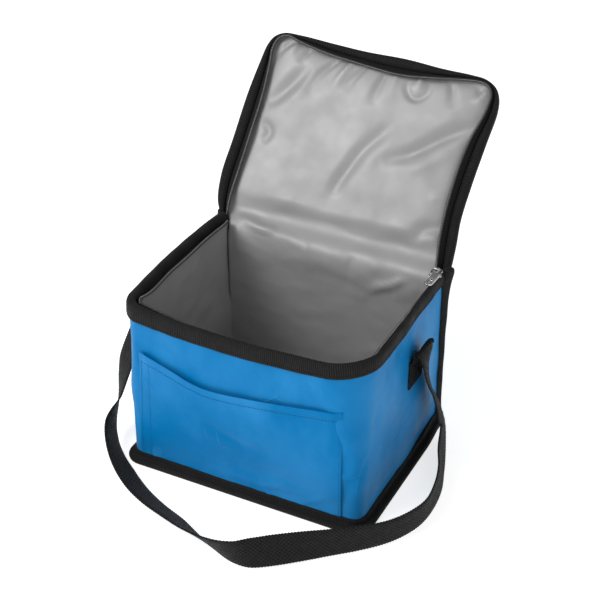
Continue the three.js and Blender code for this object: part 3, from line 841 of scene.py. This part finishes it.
def make_lining_sheet():
    inner_y = REAR_Y - WALL_DEPTH
    s_start = 13
    n = -8.3
    y, z = lid_point(0, s_start, n)[1:]
    profile = [
        (inner_y, 5.5), (inner_y, 60), (inner_y, 112), (inner_y + 0.2, 132),
        (inner_y + 4, 142.5), (y - 0.55 * S_Y * s_start, z - 0.55 * S_Z * s_start), (y, z),
    ]
    hem = EDGE + 0.42 * (COIL_LINE - EDGE)
    grid, x, up, turn = folded_panel(profile, HALF_WIDTH - 9, hem, 0.5, s_start, n, 92, 62, 90)
    on_lid = smoothstep(turn - 4, turn + 12, up)
    edge = edge_distance(x)
    from_top = up.max(axis=0, keepdims=True) - up
    puff = 4.6 * (1 - np.exp(-np.maximum(np.minimum(edge, from_top) - 5, 0) / 11))
    hang = np.maximum(hinge_relief(x, up), -0.5 - 3 * smoothstep(112, 140, up))
    move = on_lid * (puff + lid_relief(x, up - turn + s_start)) + (1 - on_lid) * hang
    move = np.maximum(move, -0.5) * smoothstep(3, 12, edge) * smoothstep(1, 7, from_top)
    grid = grid + normals(grid) * move[..., None]
    lining = cloth_piece("back_and_lid_lining", grid, LINING_THICKNESS, LINING)
    nodes, under = ["back_lining", "lid_lining"], ["back_pad", "lid_foam_pad"]
    stretched_cloth(nodes)
    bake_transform(lining)


def make_outer_sheet():
    s_start = 14
    y, z = lid_point(0, s_start, LID_BACK + 0.6)[1:]
    profile = [
        (REAR_Y + 0.2, 3), (REAR_Y + 0.2, 60), (REAR_Y + 0.2, 118), (REAR_Y + 1.4, 133),
        (REAR_Y + 7, 143), (y - 0.45 * S_Y * s_start, z - 0.5 * S_Z * s_start), (y, z),
    ]
    grid, x, up, _ = folded_panel(
        profile, HALF_WIDTH - 4.0, EDGE, 4.0, s_start, LID_BACK + 1.0, 84, 62, 70
    )
    h = 0.9 * rough(x, up, 48, 6.1) + 0.4 * rough(x, up, 20, 8.8) + 0.8
    h = add_folds(h, x, up, [
        *[([(24 * k - 86, 152), (24 * k - 86 + 12 * math.sin(k), 118)], 6, math.cos(2.2 * k), True)
          for k in range(8)],
        ([(-96, 150), (0, 146), (96, 150)], 7, -1.0),
    ])
    move = np.clip(h, 0, 1.8) * smoothstep(0, 14, edge_distance(x))
    grid = grid - normals(grid) * move[..., None]
    outer = cloth_piece("back_and_lid_outer", grid, -SHELL_THICKNESS, SHELL)
    nodes, under = ["outer_back_panel", "lid_outer_panel"], ["back_pad", "lid_foam_pad"]
    stretched_cloth(nodes)
    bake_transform(outer)


make_lining_sheet()
make_outer_sheet()


# ---------------------------------------------------------------- pads inside
def make_pads():
    x = np.linspace(-91, 91, 20)
    z = np.linspace(6.5, 122, 14)
    gx, gz = np.meshgrid(x, z)
    front = np.stack([gx, np.full(gx.shape, REAR_Y - 4.8), gz], axis=-1)
    back = np.stack([gx, np.full(gx.shape, REAR_Y - 0.9), gz], axis=-1)
    foam_pad("back_pad", front, back, "bag", "back_foam")

    left_x, right_x, top_s = lid_bounds(GROOVE)
    share = np.linspace(0, 1, 24)
    rows = []
    for r in np.linspace(0, 1, 20):
        reach = 20 + r * (top_s(-88 + share * 176) - 3 - 20)
        left, right = left_x(reach), right_x(reach)
        rows.append(np.stack([left + 3 + share * (right - left - 6), reach], -1))
    flat = np.array(rows)
    lined = lid_point(flat[..., 0], flat[..., 1], -9.4)
    outside = lid_point(flat[..., 0], flat[..., 1], LID_BACK + 1.8)
    foam_pad("lid_foam_pad", lined, outside, "lid", "lid_foam")


make_pads()


# ---------------------------------------------------------------- floor of the bag
def level_grid(left, right, front, rear, z, columns, rows):
    """A flat grid of points at height z."""
    x = left + np.linspace(0, 1, columns) * (right - left)
    return np.array([
        np.column_stack([x, np.full(columns, y), np.full(columns, z)]) for y in np.linspace(front, rear, rows)
    ])


def make_base():
    inner = wall_grid([6.0], -WALL_DEPTH)[0]
    left, right = inner[:, 0].min() + 0.5, inner[:, 0].max() - 0.5
    grid = level_grid(left, right, inner[:, 1].min() + 0.5, REAR_Y - WALL_DEPTH - 0.5, 0.0, 70, 54)
    x, y = grid[..., 0], grid[..., 1]
    edge = np.minimum(np.minimum(x - left, right - x), np.minimum(y - y.min(), y.max() - y))
    relief = 0.6 * rough(x, y, 36, 12.5) + 0.3 * rough(x, y, 15, 14.1)
    relief = add_folds(relief, x, y, [
        ([(-60, -50), (-20, -10), (30, 40)], 6, 0.9),
        ([(50, -50), (20, 0), (-40, 50)], 7, -0.8),
    ])
    grid[..., 2] = 6.2 + (1.2 * (1 - np.exp(-edge / 14)) + relief) * smoothstep(0, 6, edge)
    lining = cloth_piece("base_lining_sheet", grid, LINING_THICKNESS, LINING, "bag")
    stretched_cloth(["base_lining"])

    bottom, top = grid.copy(), grid.copy()
    bottom[..., 2], top[..., 2] = 1.2, 5.2
    foam_pad("base_pad", top, bottom, "bag", "base_foam")

    outer = wall_grid([2.0], -0.6)[0]
    front = outer[:, 1].min() + 1
    grid = level_grid(outer[:, 0].min(), outer[:, 0].max(), front, REAR_Y, 0.75, 60, 50)
    grid[..., 2] += 0.25 * rough(grid[..., 0], grid[..., 1], 30, 15.5)
    skin = cloth_piece("base_outer", grid, 0.4, SHELL, "bag")
    stretched_cloth(["base_panel"])


make_base()


# ---------------------------------------------------------------- bindings of the body
def sweep_wall(profile, wobble=0.0, seed=0.0, reach=1.0):
    """Rings of a profile of (offset, z) points swept round the left, front and right walls. Offsets into
    the bag are scaled by reach."""
    sections = []
    for k, (offset, z) in enumerate(profile):
        shift = wobble * rough(ALONG, 3.0 * k, 16, seed) if wobble else 0.0
        sections.append(wall_grid([z], offset * (reach if offset < 0 else 1.0) + shift)[0])
    return np.array(sections).transpose(1, 0, 2)


TAPE_RIB_PITCH = 1.7
TAPE_RIB_DEPTH = 0.09


def ribbed(rings, loop=False):
    """The same sweep with ribs across it, as on grosgrain tape."""
    if loop:
        rings = np.vstack([rings, rings[:1]])
    size = rings.shape[1]
    along = lengths(rings.mean(axis=1))
    count = int(round(along[-1] / TAPE_RIB_PITCH))
    wanted = np.linspace(0, along[-1], 4 * count + 1)
    rings = sample(rings.reshape(len(rings), -1), along, wanted).reshape(-1, size, 3)
    out = rings - rings.mean(axis=1, keepdims=True)
    out /= np.maximum(np.linalg.norm(out, axis=2, keepdims=True), 1e-6)
    wave = TAPE_RIB_DEPTH * np.cos(2 * np.pi * wanted / along[-1] * count)
    rings = rings + out * wave[:, None, None]
    return rings[:-1] if loop else rings


def densify(rings, factor=3):
    """More rings along a sweep, on smooth curves through the ones given."""
    count, size = rings.shape[:2]
    return curve(rings.reshape(count, -1), factor).reshape(-1, size, 3)


RIM_PROFILE = [
    (0.5, 138.2), (1.3, 137.8), (1.9, 139.0), (2.0, 143.5), (1.8, 147.8), (1.0, 149.9), (-0.8, 151.0),
    (-2.8, 151.1), (-4.6, 150.3), (-5.9, 148.6), (-6.7, 146.0), (-7.1, 143.2), (-6.4, 142.8),
    (-5.6, 145.0), (-4.4, 148.4), (-2.4, 149.6), (-0.6, 149.2), (0.4, 147.0), (0.4, 142.0),
]


def binding(name, rings, node, body="bag", loop=False):
    """A piece of grosgrain tape."""
    rings = ribbed(rings, loop)
    rings[..., 2] = np.maximum(rings[..., 2], 0.05)
    piece = loft(name, rings, GROSGRAIN, body, loop)
    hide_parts(node)
    return piece


def make_rim():
    rings = densify(sweep_wall(RIM_PROFILE, 0.25, 20.1, REACH))
    rings[..., 2] -= 0.9 * smoothstep(60, 92, rings[..., 0]) * smoothstep(145, 150, rings[..., 2])
    binding("rim_binding_tape", rings, "rim_binding")
    line = densify(sweep_wall([(2.1, 140.4), (2.1, 140.5)]))[:, 0]
    out = densify(sweep_wall([(3.1, 140.4), (3.1, 140.5)]))[:, 0] - line
    thread = make_piece("rim_stitching", *stitch_row(line, out, 3.2, 0.6, 0.2), BLACK_THREAD, "bag")


SEAM_PROFILE = [
    (-0.4, 10.4), (1.2, 10.4), (1.8, 9.4), (1.9, 7.2), (2.4, 5.7), (3.6, 5.2), (5.2, 5.5), (6.6, 4.7),
    (7.4, 3.2), (7.2, 1.5), (6.0, 0.35), (3.4, 0.1), (-0.4, 0.1),
]


def make_base_binding():
    front = sweep_wall(SEAM_PROFILE)
    back = []
    x_left, x_right = front[0, 0, 0], front[-1, 0, 0]
    edge_left, edge_right = x_left - 0.4, x_right + 0.4
    for x, y, nx, ny in [
        (edge_right, REAR_Y - 1, 1, 0.35), (edge_right, REAR_Y, 0.72, 0.72),
        (edge_right - 1, REAR_Y, 0.35, 1),
        *[(x, REAR_Y, 0, 1) for x in np.linspace(edge_right - 4, edge_left + 4, 30)],
        (edge_left + 1, REAR_Y, -0.35, 1), (edge_left, REAR_Y, -0.72, 0.72),
        (edge_left, REAR_Y - 1, -1, 0.35),
    ]:
        back.append([(x + nx * o, y + ny * o, z) for o, z in SEAM_PROFILE])
    rings = np.vstack([front[:-2], back])
    rings = densify(np.vstack([rings, rings[:1]]), 3)[:-1]
    shift = 0.3 * rough(rings[..., 0], rings[..., 1], 17, 31.0)
    rings[..., 2] = np.maximum(rings[..., 2] + shift * (rings[..., 2] > 4), 0.1)
    binding("base_binding_tape", rings, "base_binding", loop=True)


def make_rear_bindings():
    """A bound seam down each rear corner: a flat rounded strip that stands out from it, wider on top."""
    toward = np.array([0.53, 0.85])
    low, high = 3, 151.5
    levels, sizes = [low, 12, 35, 95, 130, 146, high], [1.25, 0.95, 0.78, 0.92, 1.3, 1.5, 1.3]
    for side, name in ((-1, "left"), (1, "right")):
        rings = []
        for z in np.linspace(low, high, 90):
            size = np.interp(z, levels, sizes) * (1 + 0.05 * math.sin(z / 5.0))
            close = math.sqrt(max(0.05, min(1.0, (152.5 - z) / 3.0)))
            bulge = 2.4 * math.exp(-(((z - 150) / 12) ** 2)) + 1.5 * math.exp(-(((z - 3) / 7) ** 2))
            thick = 1.5 + 0.3 * size + 0.4 * bulge
            centre = np.array([HALF_WIDTH - 1.3 + bulge, REAR_Y + 0.2 + 0.3 * bulge])
            ring = []
            for a in turn_steps(20):
                long = 3.7 * size * math.copysign(abs(math.cos(a)) ** 0.8, math.cos(a))
                flat = thick * math.copysign(abs(math.sin(a)) ** 0.8, math.sin(a))
                spot = centre + close * (long * toward + flat * np.array([toward[1], -toward[0]]))
                ring.append((side * spot[0], spot[1], z))
            rings.append(ring)
        binding(f"rear_binding_tape_{name}", np.array(rings), f"rear_binding_{name}")


make_rim()
make_base_binding()
make_rear_bindings()


# ---------------------------------------------------------------- zipper
SWING = next(j for j in frame["joints"] if j["name"] == "pull_swing")
POST_X, POST_Y = SWING["pos_m"][0] / MM, SWING["pos_m"][1] / MM
TOOTH_PITCH = 1.3
COIL_X = POST_X - 2.4
COIL_Z = 147.2


def coil_teeth(line, up):
    """Teeth of a coil zipper along a line: rounded loops side by side on a thin core."""
    along = lengths(line)
    count = int(along[-1] / TOOTH_PITCH)
    wanted = (np.arange(count) + 0.5) * TOOTH_PITCH
    middle = sample(line, along, wanted)
    tangent, side, top = frames_along(middle, sample(up, along, wanted))
    parts = []
    angles = turn_steps(6)
    for m, t, s, u in zip(middle, tangent, side, top):
        rings = []
        for a in np.linspace(-1, 1, 5):
            size = math.sqrt(max(0.3, 1 - 0.75 * a * a))
            centre = m + s * a * 1.25
            rings.append([
                centre + size * (0.56 * math.cos(q) * t + 0.85 * math.sin(q) * u) for q in angles
            ])
        parts.append(loft_data(rings))
    smooth = resample(np.column_stack([line, up]), max(40, count // 4))
    _, side, top = frames_along(smooth[:, :3], smooth[:, 3:])
    core = [
        [m + 0.7 * math.cos(q) * s + 0.5 * math.sin(q) * u for q in angles]
        for m, s, u in zip(smooth[:, :3], side, top)
    ]
    parts.append(loft_data(core))
    return join_data(parts)


def tape_rings(start, end, rise, thickness=0.7, steps=6):
    """A strip of tape between two lines, arched up by rise, as rings along it."""
    share = np.linspace(0, 1, steps)
    middle = start[:, None] + share[None, :, None] * (end - start)[:, None]
    middle = middle + np.sin(np.pi * share)[None, :, None] * rise[:, None]
    lift = np.abs(rise) / np.maximum(np.linalg.norm(rise, axis=1, keepdims=True), 1e-9) * thickness / 2
    return np.concatenate([middle + lift[:, None], (middle - lift[:, None])[:, ::-1]], axis=1)


def make_body_zipper():
    """The body's half of the zipper: in over the rim on the left, tucked down in front, and straight
    along the right side, where the slider runs."""
    inset = np.interp(
        ALONG, [ALONG[0], ALONG[0] + 14, LEFT_EDGE, LEFT_EDGE + 40, RIGHT_EDGE - 40, RIGHT_EDGE],
        [8.5, 11.3, 11.3, 10.0, 7.5, 5.6],
    )
    height = np.interp(
        ALONG, [LEFT_EDGE, LEFT_EDGE + 60, RIGHT_EDGE - 40, RIGHT_EDGE - 6, RIGHT_EDGE + 11],
        [146.6, 145.4, 143.0, 144.5, COIL_Z],
    )
    start = wall_grid([145.0], -6.4 * REACH)[0]
    coil = np.array([wall_grid([z], -i)[0][k] for k, (z, i) in enumerate(zip(height, inset))])
    straight = smoothstep(RIGHT_EDGE - 14, RIGHT_EDGE + 11, ALONG)
    start[:, 2] += 2.0 * straight
    coil[:, 0] += straight * (COIL_X + 1.5 - coil[:, 0])
    both = curve(np.column_stack([start, coil, straight])[1:], 8)
    start, coil, straight = both[:, :3], both[:, 3:6], np.clip(both[:, 6], 0, 1)
    along = lengths(coil)
    loose = 1 - smoothstep(along[-1] - 160, along[-1] - 125, along)
    near_corner = np.exp(-(((coil[:, 0] + 92) ** 2 + (coil[:, 1] + 74) ** 2) / 16**2))
    inward = coil - start
    inward[:, 2] = 0
    inward = unit(inward)
    coil[:, 2] += loose * (0.6 * rough(along, 0, 30, 41.0) + 3.0 * near_corner)
    coil -= inward * (loose * (2.6 * near_corner + 0.6 * rough(along, 5.0, 36, 43.0)))[:, None]
    up = np.tile([0.0, 0.0, 1.0], (len(coil), 1)) + 0.35 * inward
    rise = up * (0.86 * straight - 0.9)[:, None]
    tape = loft("zipper_tape_on_body", tape_rings(start, coil, rise), TAPE, "bag")
    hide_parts("zipper_tape_body")
    teeth = make_piece("zipper_teeth_on_body", *coil_teeth(coil, up), COIL, "bag")
    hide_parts("zipper_coil_body")


LID_BAND_PROFILE = [
    (1.02, -8.4), (1.0, -6.6), (0.86, -5.3), (0.6, LID_FRONT), (0.3, -4.9), (0.1, -5.8), (0.0, -7.4),
    (-0.03, -9.2), (0.0, -11.0), (0.1, -12.6), (0.3, -13.6), (0.6, -13.9), (0.95, -13.8), (1.0, -13.3),
    (0.9, -12.4), (0.7, -10.2),
]


def make_lid_edge():
    span = GROOVE - EDGE
    edge_along = lengths(EDGE, 2)
    soft = 0.3 * rough(edge_along, 0, 22, 51.0)
    ends = smoothstep(0, 6, edge_along) * smoothstep(0, 4, edge_along[-1] - edge_along)
    middle_n = -9.3
    rings = []
    for share, n in LID_BAND_PROFILE:
        flat = EDGE + span * share
        level = middle_n + (n - middle_n) * (0.45 + 0.55 * ends)
        rings.append(lid_point(flat[:, 0], flat[:, 1], level + soft * (n > -7)))
    rings = np.array(rings).transpose(1, 0, 2)
    band = binding("lid_binding_tape", rings, "lid_gusset_binding", body=None)
    out = lid_point([0.0], [0.0], [1.0]) - lid_point([0.0], [0.0], [0.0])
    up = np.repeat(out, len(EDGE), axis=0)
    inset = EDGE + span * 0.8
    line = lid_point(inset[:, 0], inset[:, 1], -4.9 + soft)
    thread = make_piece("lid_stitching", *stitch_row(line, up, 3.2, 0.6, 0.2), BLACK_THREAD)

    groove = EDGE + span * 1.04
    coil_n = COIL_N + 0.5 * rough(edge_along, 9.0, 34, 53.0)
    start = lid_point(groove[:, 0], groove[:, 1], -7.6)
    coil = lid_point(COIL_LINE[:, 0], COIL_LINE[:, 1], coil_n)
    tape = loft("zipper_tape_on_lid", tape_rings(start, coil, up * 0.5), TAPE)
    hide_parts("zipper_tape_lid")
    teeth = make_piece("zipper_teeth_on_lid", *coil_teeth(coil, up), COIL)
    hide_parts("zipper_coil_lid")
    for piece in (band, thread, tape, teeth):
        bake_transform(piece)


make_body_zipper()
make_lid_edge()


# ---------------------------------------------------------------- front pocket
POCKET_LEFT, POCKET_RIGHT = -86.5, 85.4
POCKET_BOTTOM = 6.0

# The height of the pocket's mouth at shares of its width: it hangs lowest a third of the way across
mouth = curve([
    (0, 111.6), (0.04, 111.0), (0.12, 108.4), (0.2, 105.3), (0.28, 101.8), (0.36, 100.4),
    (0.45, 101.2), (0.56, 102.9), (0.68, 105.2), (0.8, 107.4), (0.9, 108.8), (1, 109.4),
], 8)
MOUTH_SHARE, MOUTH_HEIGHT = mouth[:, 0], mouth[:, 1]


def front_y(x, z):
    """The y of the smooth front wall at x and z."""
    row = wall_grid([z], 0)[0][24:118]
    return np.interp(x, row[:, 0], row[:, 1])


def pocket_surface(u, v, lift=0.0):
    """Points of the pocket's face: u across it from 0 to 1, v up it from 0 to 1, for one v at a time."""
    x = POCKET_LEFT - 6.0 * (1 - v) + u * (POCKET_RIGHT - POCKET_LEFT + 6.4 * (1 - v))
    z = POCKET_BOTTOM + v * (np.interp(u, MOUTH_SHARE, MOUTH_HEIGHT) - POCKET_BOTTOM)
    base = np.array([front_y(a, c) for a, c in zip(x, z)])
    edge = np.minimum(u, 1 - u) * (POCKET_RIGHT - POCKET_LEFT)
    open_gap = 3.2 * np.sin(np.pi * np.clip(u * 1.02, 0, 1)) ** 0.5 * smoothstep(0.35, 1.0, v)
    h = 0.95 + 0.3 * rough(x, z, 34, 61.0) + 0.16 * rough(x, z, 15, 63.0)
    h = add_folds(h, x, z, [
        ([(-84, 86), (-66, 74), (-60, 70)], 2.6, 0.6),
        ([(-40, 70), (-10, 58), (18, 52)], 4.0, -0.6),
        ([(-96, 62), (-86, 40), (-92, 20)], 4.0, 0.5),
        ([(-36, 22), (6, 19), (44, 24), (66, 20)], 5.0, 1.1),
        ([(-10, 30), (30, 34), (58, 30)], 5.0, -0.7),
        ([(26, 7), (20, 16), (30, 22)], 3.0, 1.3, True),
        ([(78, 30), (62, 18), (48, 8)], 3.2, 1.0),
        ([(82, 18), (66, 10), (54, 6)], 2.6, -0.8),
        *[([(20 * k - 84, 7), (20 * k - 84 + 5 * math.sin(k), 20)], 3.2, 0.55 * math.cos(2.3 * k), True)
          for k in range(9)],
    ])
    move = 0.75 + (h - 0.75 + open_gap) * smoothstep(0, 7, edge) * (0.35 + 0.65 * smoothstep(0, 0.14, v))
    return np.column_stack([x, base - np.maximum(move, 0.75) - lift, z])


def make_pocket():
    columns = np.linspace(0, 1, 130)
    rows = np.concatenate([np.linspace(0, 0.93, 64), [0.934, 0.938], np.linspace(0.95, 1.0, 8)])
    grid = []
    for v in rows:
        hem = 0.55 * smoothstep(0.93, 0.938, v) - 0.35 * smoothstep(0.992, 1.0, v)
        grid.append(pocket_surface(columns, np.full(130, v), hem))
    grid = np.array(grid)
    grid[-1] += (0, 0.5, -0.1)
    pocket = cloth_piece("pocket_panel", grid, 0.7, SHELL, "bag")
    stretched_cloth(["front_pocket"])

    parts = []
    inner = np.linspace(0.012, 0.988, 160)
    ups = np.linspace(0.02, 0.985, 90)
    for u, v, lift in (
        (inner, np.full(160, 0.925), 0.1), (np.full(90, 0.0125), ups, 0.1),
        (np.full(90, 0.988), ups, 0.1), (np.full(90, 0.055), ups * 0.97, 0.05),
    ):
        parts.append(stitch_row(pocket_surface(u, v, lift), (0.0, -1.0, 0.3), 2.7, 0.6, 0.22))
    thread = make_piece("pocket_stitching", *join_data(parts), BLUE_THREAD, "bag")


make_pocket()


# ---------------------------------------------------------------- strap ends
def make_strap_ends():
    patch_low, patch_high = 78.6, 104.2
    heights = np.linspace(patch_low, patch_high, 60)
    for side, name, middle_y in ((-1, "left", 20.0), (1, "right", 18.0)):
        row = wall_grid([91.0], 0, None)[0]
        half = row[:45] if side < 0 else row[-50:]
        wall_x = np.interp(20.0, *(half[np.argsort(half[:, 1])][:, (1, 0)].T))
        face = wall_x + side * 1.35
        lean = side * np.interp(heights, [patch_low, 84, 99, patch_high], [-0.25, 0, 0.1, 0.35])
        centre = np.column_stack([face + lean, np.full(60, middle_y), heights])
        across = np.tile([0.0, -1.0, 0.0], (60, 1))
        patch = loft(f"strap_end_webbing_{name}", webbing_rings(centre, across), WEBBING, "bag")
        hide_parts(f"strap_end_{name}")
        x = face + side * 0.95
        low, high, near, far = 81.0, 101.5, middle_y - 10.4, middle_y + 10.4
        paths = [
            [(x, near, low), (x, far, low)], [(x, near, high), (x, far, high)],
            [(x, near, low), (x, near, high)], [(x, far, low), (x, far, high)],
            [(x, near, low), (x, far, high)], [(x, near, high), (x, far, low)],
        ]
        up = (float(side), 0.0, 0.0)
        rows = [stitch_row(np.linspace(a, b, 20), up, 2.4, 0.66, 0.34) for a, b in paths]
        thread = make_piece(f"strap_end_stitching_{name}", *join_data(rows), BLACK_THREAD, "bag")


make_strap_ends()


# ---------------------------------------------------------------- slider and pull
PULL_YAW = math.radians(-3)
PULL_Z = 152.2
SLIDER_BACK, SLIDER_FRONT = 73.6, 62.2
UPWARD = (0.0, 0.0, 1.0)


def rounded_bar(points, widths, thick, up, sides=12):
    """A bar with a rounded oval section along points. widths is one width or one for each point."""
    line = np.asarray(points, float)
    _, side, top = frames_along(line, up)
    squared = [
        [abs(v) ** 0.6 * np.sign(v) for v in (math.cos(a), math.sin(a))] for a in turn_steps(sides)
    ]
    return loft_data([
        [m + w / 2 * c * s + thick / 2 * q * t for c, q in squared]
        for m, s, t, w in zip(line, side, top, np.broadcast_to(widths, len(line)))
    ])


def slider_plate(x, z, thick):
    """One plate of the slider: narrow behind, wide at the shoulders, rounded in front."""
    share = np.linspace(0, 1, 22)
    along = SLIDER_BACK + share * (SLIDER_FRONT - SLIDER_BACK)
    shape = np.interp(share, [0, 0.06, 0.2, 0.55, 0.8, 0.93, 1], [3.6, 5.8, 6.6, 9.4, 10.0, 8.2, 4.0])
    line = np.column_stack([np.full(22, x), along, np.full(22, z)])
    return rounded_bar(line, shape, thick, UPWARD, 16)


def make_slider():
    x = COIL_X
    parts = [slider_plate(x, COIL_Z + 2.1, 1.3), slider_plate(x, COIL_Z - 2.1, 1.2)]
    neck = np.column_stack([np.full(5, x - 0.9), np.linspace(62.8, 66, 5), np.full(5, COIL_Z)])
    parts.append(rounded_bar(neck, [0.7, 1.5, 1.8, 1.4, 0.7], 3.6, UPWARD))
    for side in (-1, 1):
        spots = ((3.0, 72.6), (3.5, 70), (4.5, 67), (4.7, 64.6))
        lip = [(x + side * w, y, COIL_Z + 1.5) for w, y in spots]
        parts.append(rounded_bar(curve(lip, 5), 0.9, 0.9, UPWARD))
    bridge = [  # over the top plate, with the pull's eye round its first rise
        (POST_X, POST_Y, COIL_Z + 2.0), (POST_X + 0.1, POST_Y, COIL_Z + 4.8),
        (POST_X - 0.8, POST_Y, COIL_Z + 6.4), (POST_X - 2.6, POST_Y, COIL_Z + 6.9),
        (POST_X - 4.6, POST_Y - 0.2, COIL_Z + 6.0), (POST_X - 6.2, POST_Y - 0.4, COIL_Z + 3.8),
        (POST_X - 6.6, POST_Y - 0.4, COIL_Z + 1.8),
    ]
    line = curve(bridge, 7)
    up = line - np.array([x, POST_Y, COIL_Z + 1.0])
    parts.append(rounded_bar(line, 2.9, 1.5, up, 14))
    slider = make_piece("slider_metal", *join_data(parts), NICKEL, "slider")
    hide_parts("zipper_slider")


def half_turn(radius, y=0.0, count=10, start=0.0, end=math.pi):
    """Points of an arc about (0, y)."""
    return [(radius * math.cos(a), y + radius * math.sin(a)) for a in np.linspace(start, end, count)]


def make_pull():
    """A flat pull with an eye round the bridge, beaded long edges and a slot at the free end."""
    low = {"start": math.pi, "end": 2 * math.pi}
    head = half_turn(2.9, 0.0, 18, -0.35, math.pi + 0.35)
    tip = [(x * 0.98, y) for x, y in half_turn(3.7, -19.6, 16, **low)]
    outline = head + [(-3.1, -3.0), (-3.6, -5.4)] + tip + [(3.6, -5.4), (3.1, -3.0)]
    eye = half_turn(1.75, 0.0, 21, 0.0, 2 * math.pi)[:-1]
    slot = half_turn(1.35, -14.2 - 1.35) + half_turn(1.35, -14.2 - 6.6 + 1.35, **low)
    shape = bpy.data.curves.new("pull_outline", "CURVE")
    shape.dimensions = "2D"
    shape.fill_mode = "BOTH"
    shape.extrude = 0.32 * MM
    shape.bevel_depth = 0.26 * MM
    shape.bevel_resolution = 2
    shape.offset = -0.26 * MM
    for loop in (outline, eye, slot):
        spline = shape.splines.new("POLY")
        spline.points.add(len(loop) - 1)
        spline.points.foreach_set("co", [c for x, y in loop for c in (x * MM, y * MM, 0, 1)])
        spline.use_cyclic_u = True
    holder = bpy.data.objects.new("pull_outline", shape)
    bpy.context.scene.collection.objects.link(holder)
    plate = holder.to_mesh()
    flat = np.array([v.co[:] for v in plate.vertices]) / MM
    faces = [list(p.vertices) for p in plate.polygons]
    holder.to_mesh_clear()
    bpy.data.objects.remove(holder)
    parts = [(flat, faces, [[(flat[i][0], flat[i][1]) for i in face] for face in faces])]
    for side in (-1, 1):
        edge = np.array([(side * 2.9, y, 0.5) for y in np.linspace(-6, -20, 30)])
        for face in (1.0, -1.0):
            parts.append(stitch_row(edge * (1, 1, face), (0.0, 0.0, face), 0.95, 0.8, 0.42))
    rim = [(x, y, 0.5) for x, y in half_turn(2.9, -19.8, 20, **low)]
    parts.append(rounded_bar(rim, 0.8, 0.5, UPWARD, 8))
    points, faces, uvs = join_data(parts)
    x, y, z = points.T
    cos, sin = math.cos(PULL_YAW), math.sin(PULL_YAW)
    turned = np.column_stack([POST_X + x * cos - y * sin, POST_Y + x * sin + y * cos, PULL_Z + z])
    pull = make_piece("pull_metal", turned, faces, uvs, NICKEL, "pull")
    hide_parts("zipper_pull")


make_slider()
make_pull()


# ---------------------------------------------------------------- floor and light
def make_stage():
    mesh = bpy.data.meshes.new("floor")
    corners = [(-6, -6, 0), (6, -6, 0), (6, 6, 0), (-6, 6, 0)]
    mesh.from_pydata(corners, [], [(0, 1, 2, 3)])
    floor = bpy.data.objects.new("floor", mesh)
    bpy.context.scene.collection.objects.link(floor)
    look = bpy.data.materials.new("floor_paper")
    look.use_nodes = True
    shader = look.node_tree.nodes["Principled BSDF"]
    shader.inputs["Base Color"].default_value = (0.7, 0.7, 0.7, 1)
    shader.inputs["Roughness"].default_value = 0.9
    shader.inputs["Emission Color"].default_value = (1, 1, 1, 1)
    shader.inputs["Emission Strength"].default_value = 0.7
    mesh.materials.append(look)


def add_light(name, location, target, size, power):
    data = bpy.data.lights.new(name, "AREA")
    data.size = size
    data.energy = power
    light = bpy.data.objects.new(name, data)
    light.location = location
    light.rotation_euler = (Vector(target) - Vector(location)).to_track_quat("-Z", "Y").to_euler()
    bpy.context.scene.collection.objects.link(light)


def light_scene():
    world = bpy.data.worlds.new("studio")
    world.use_nodes = True
    world.node_tree.nodes["Background"].inputs["Color"].default_value = (1, 1, 1, 1)
    world.node_tree.nodes["Background"].inputs["Strength"].default_value = 0.44
    bpy.context.scene.world = world
    bpy.context.scene.view_settings.view_transform = "Standard"
    add_light("key", (-1.0, -1.1, 1.5), (0, 0, 0.1), 1.2, 32)
    add_light("fill", (1.5, -1.2, 1.0), (0, 0, 0.1), 1.4, 9)


make_stage()
light_scene()
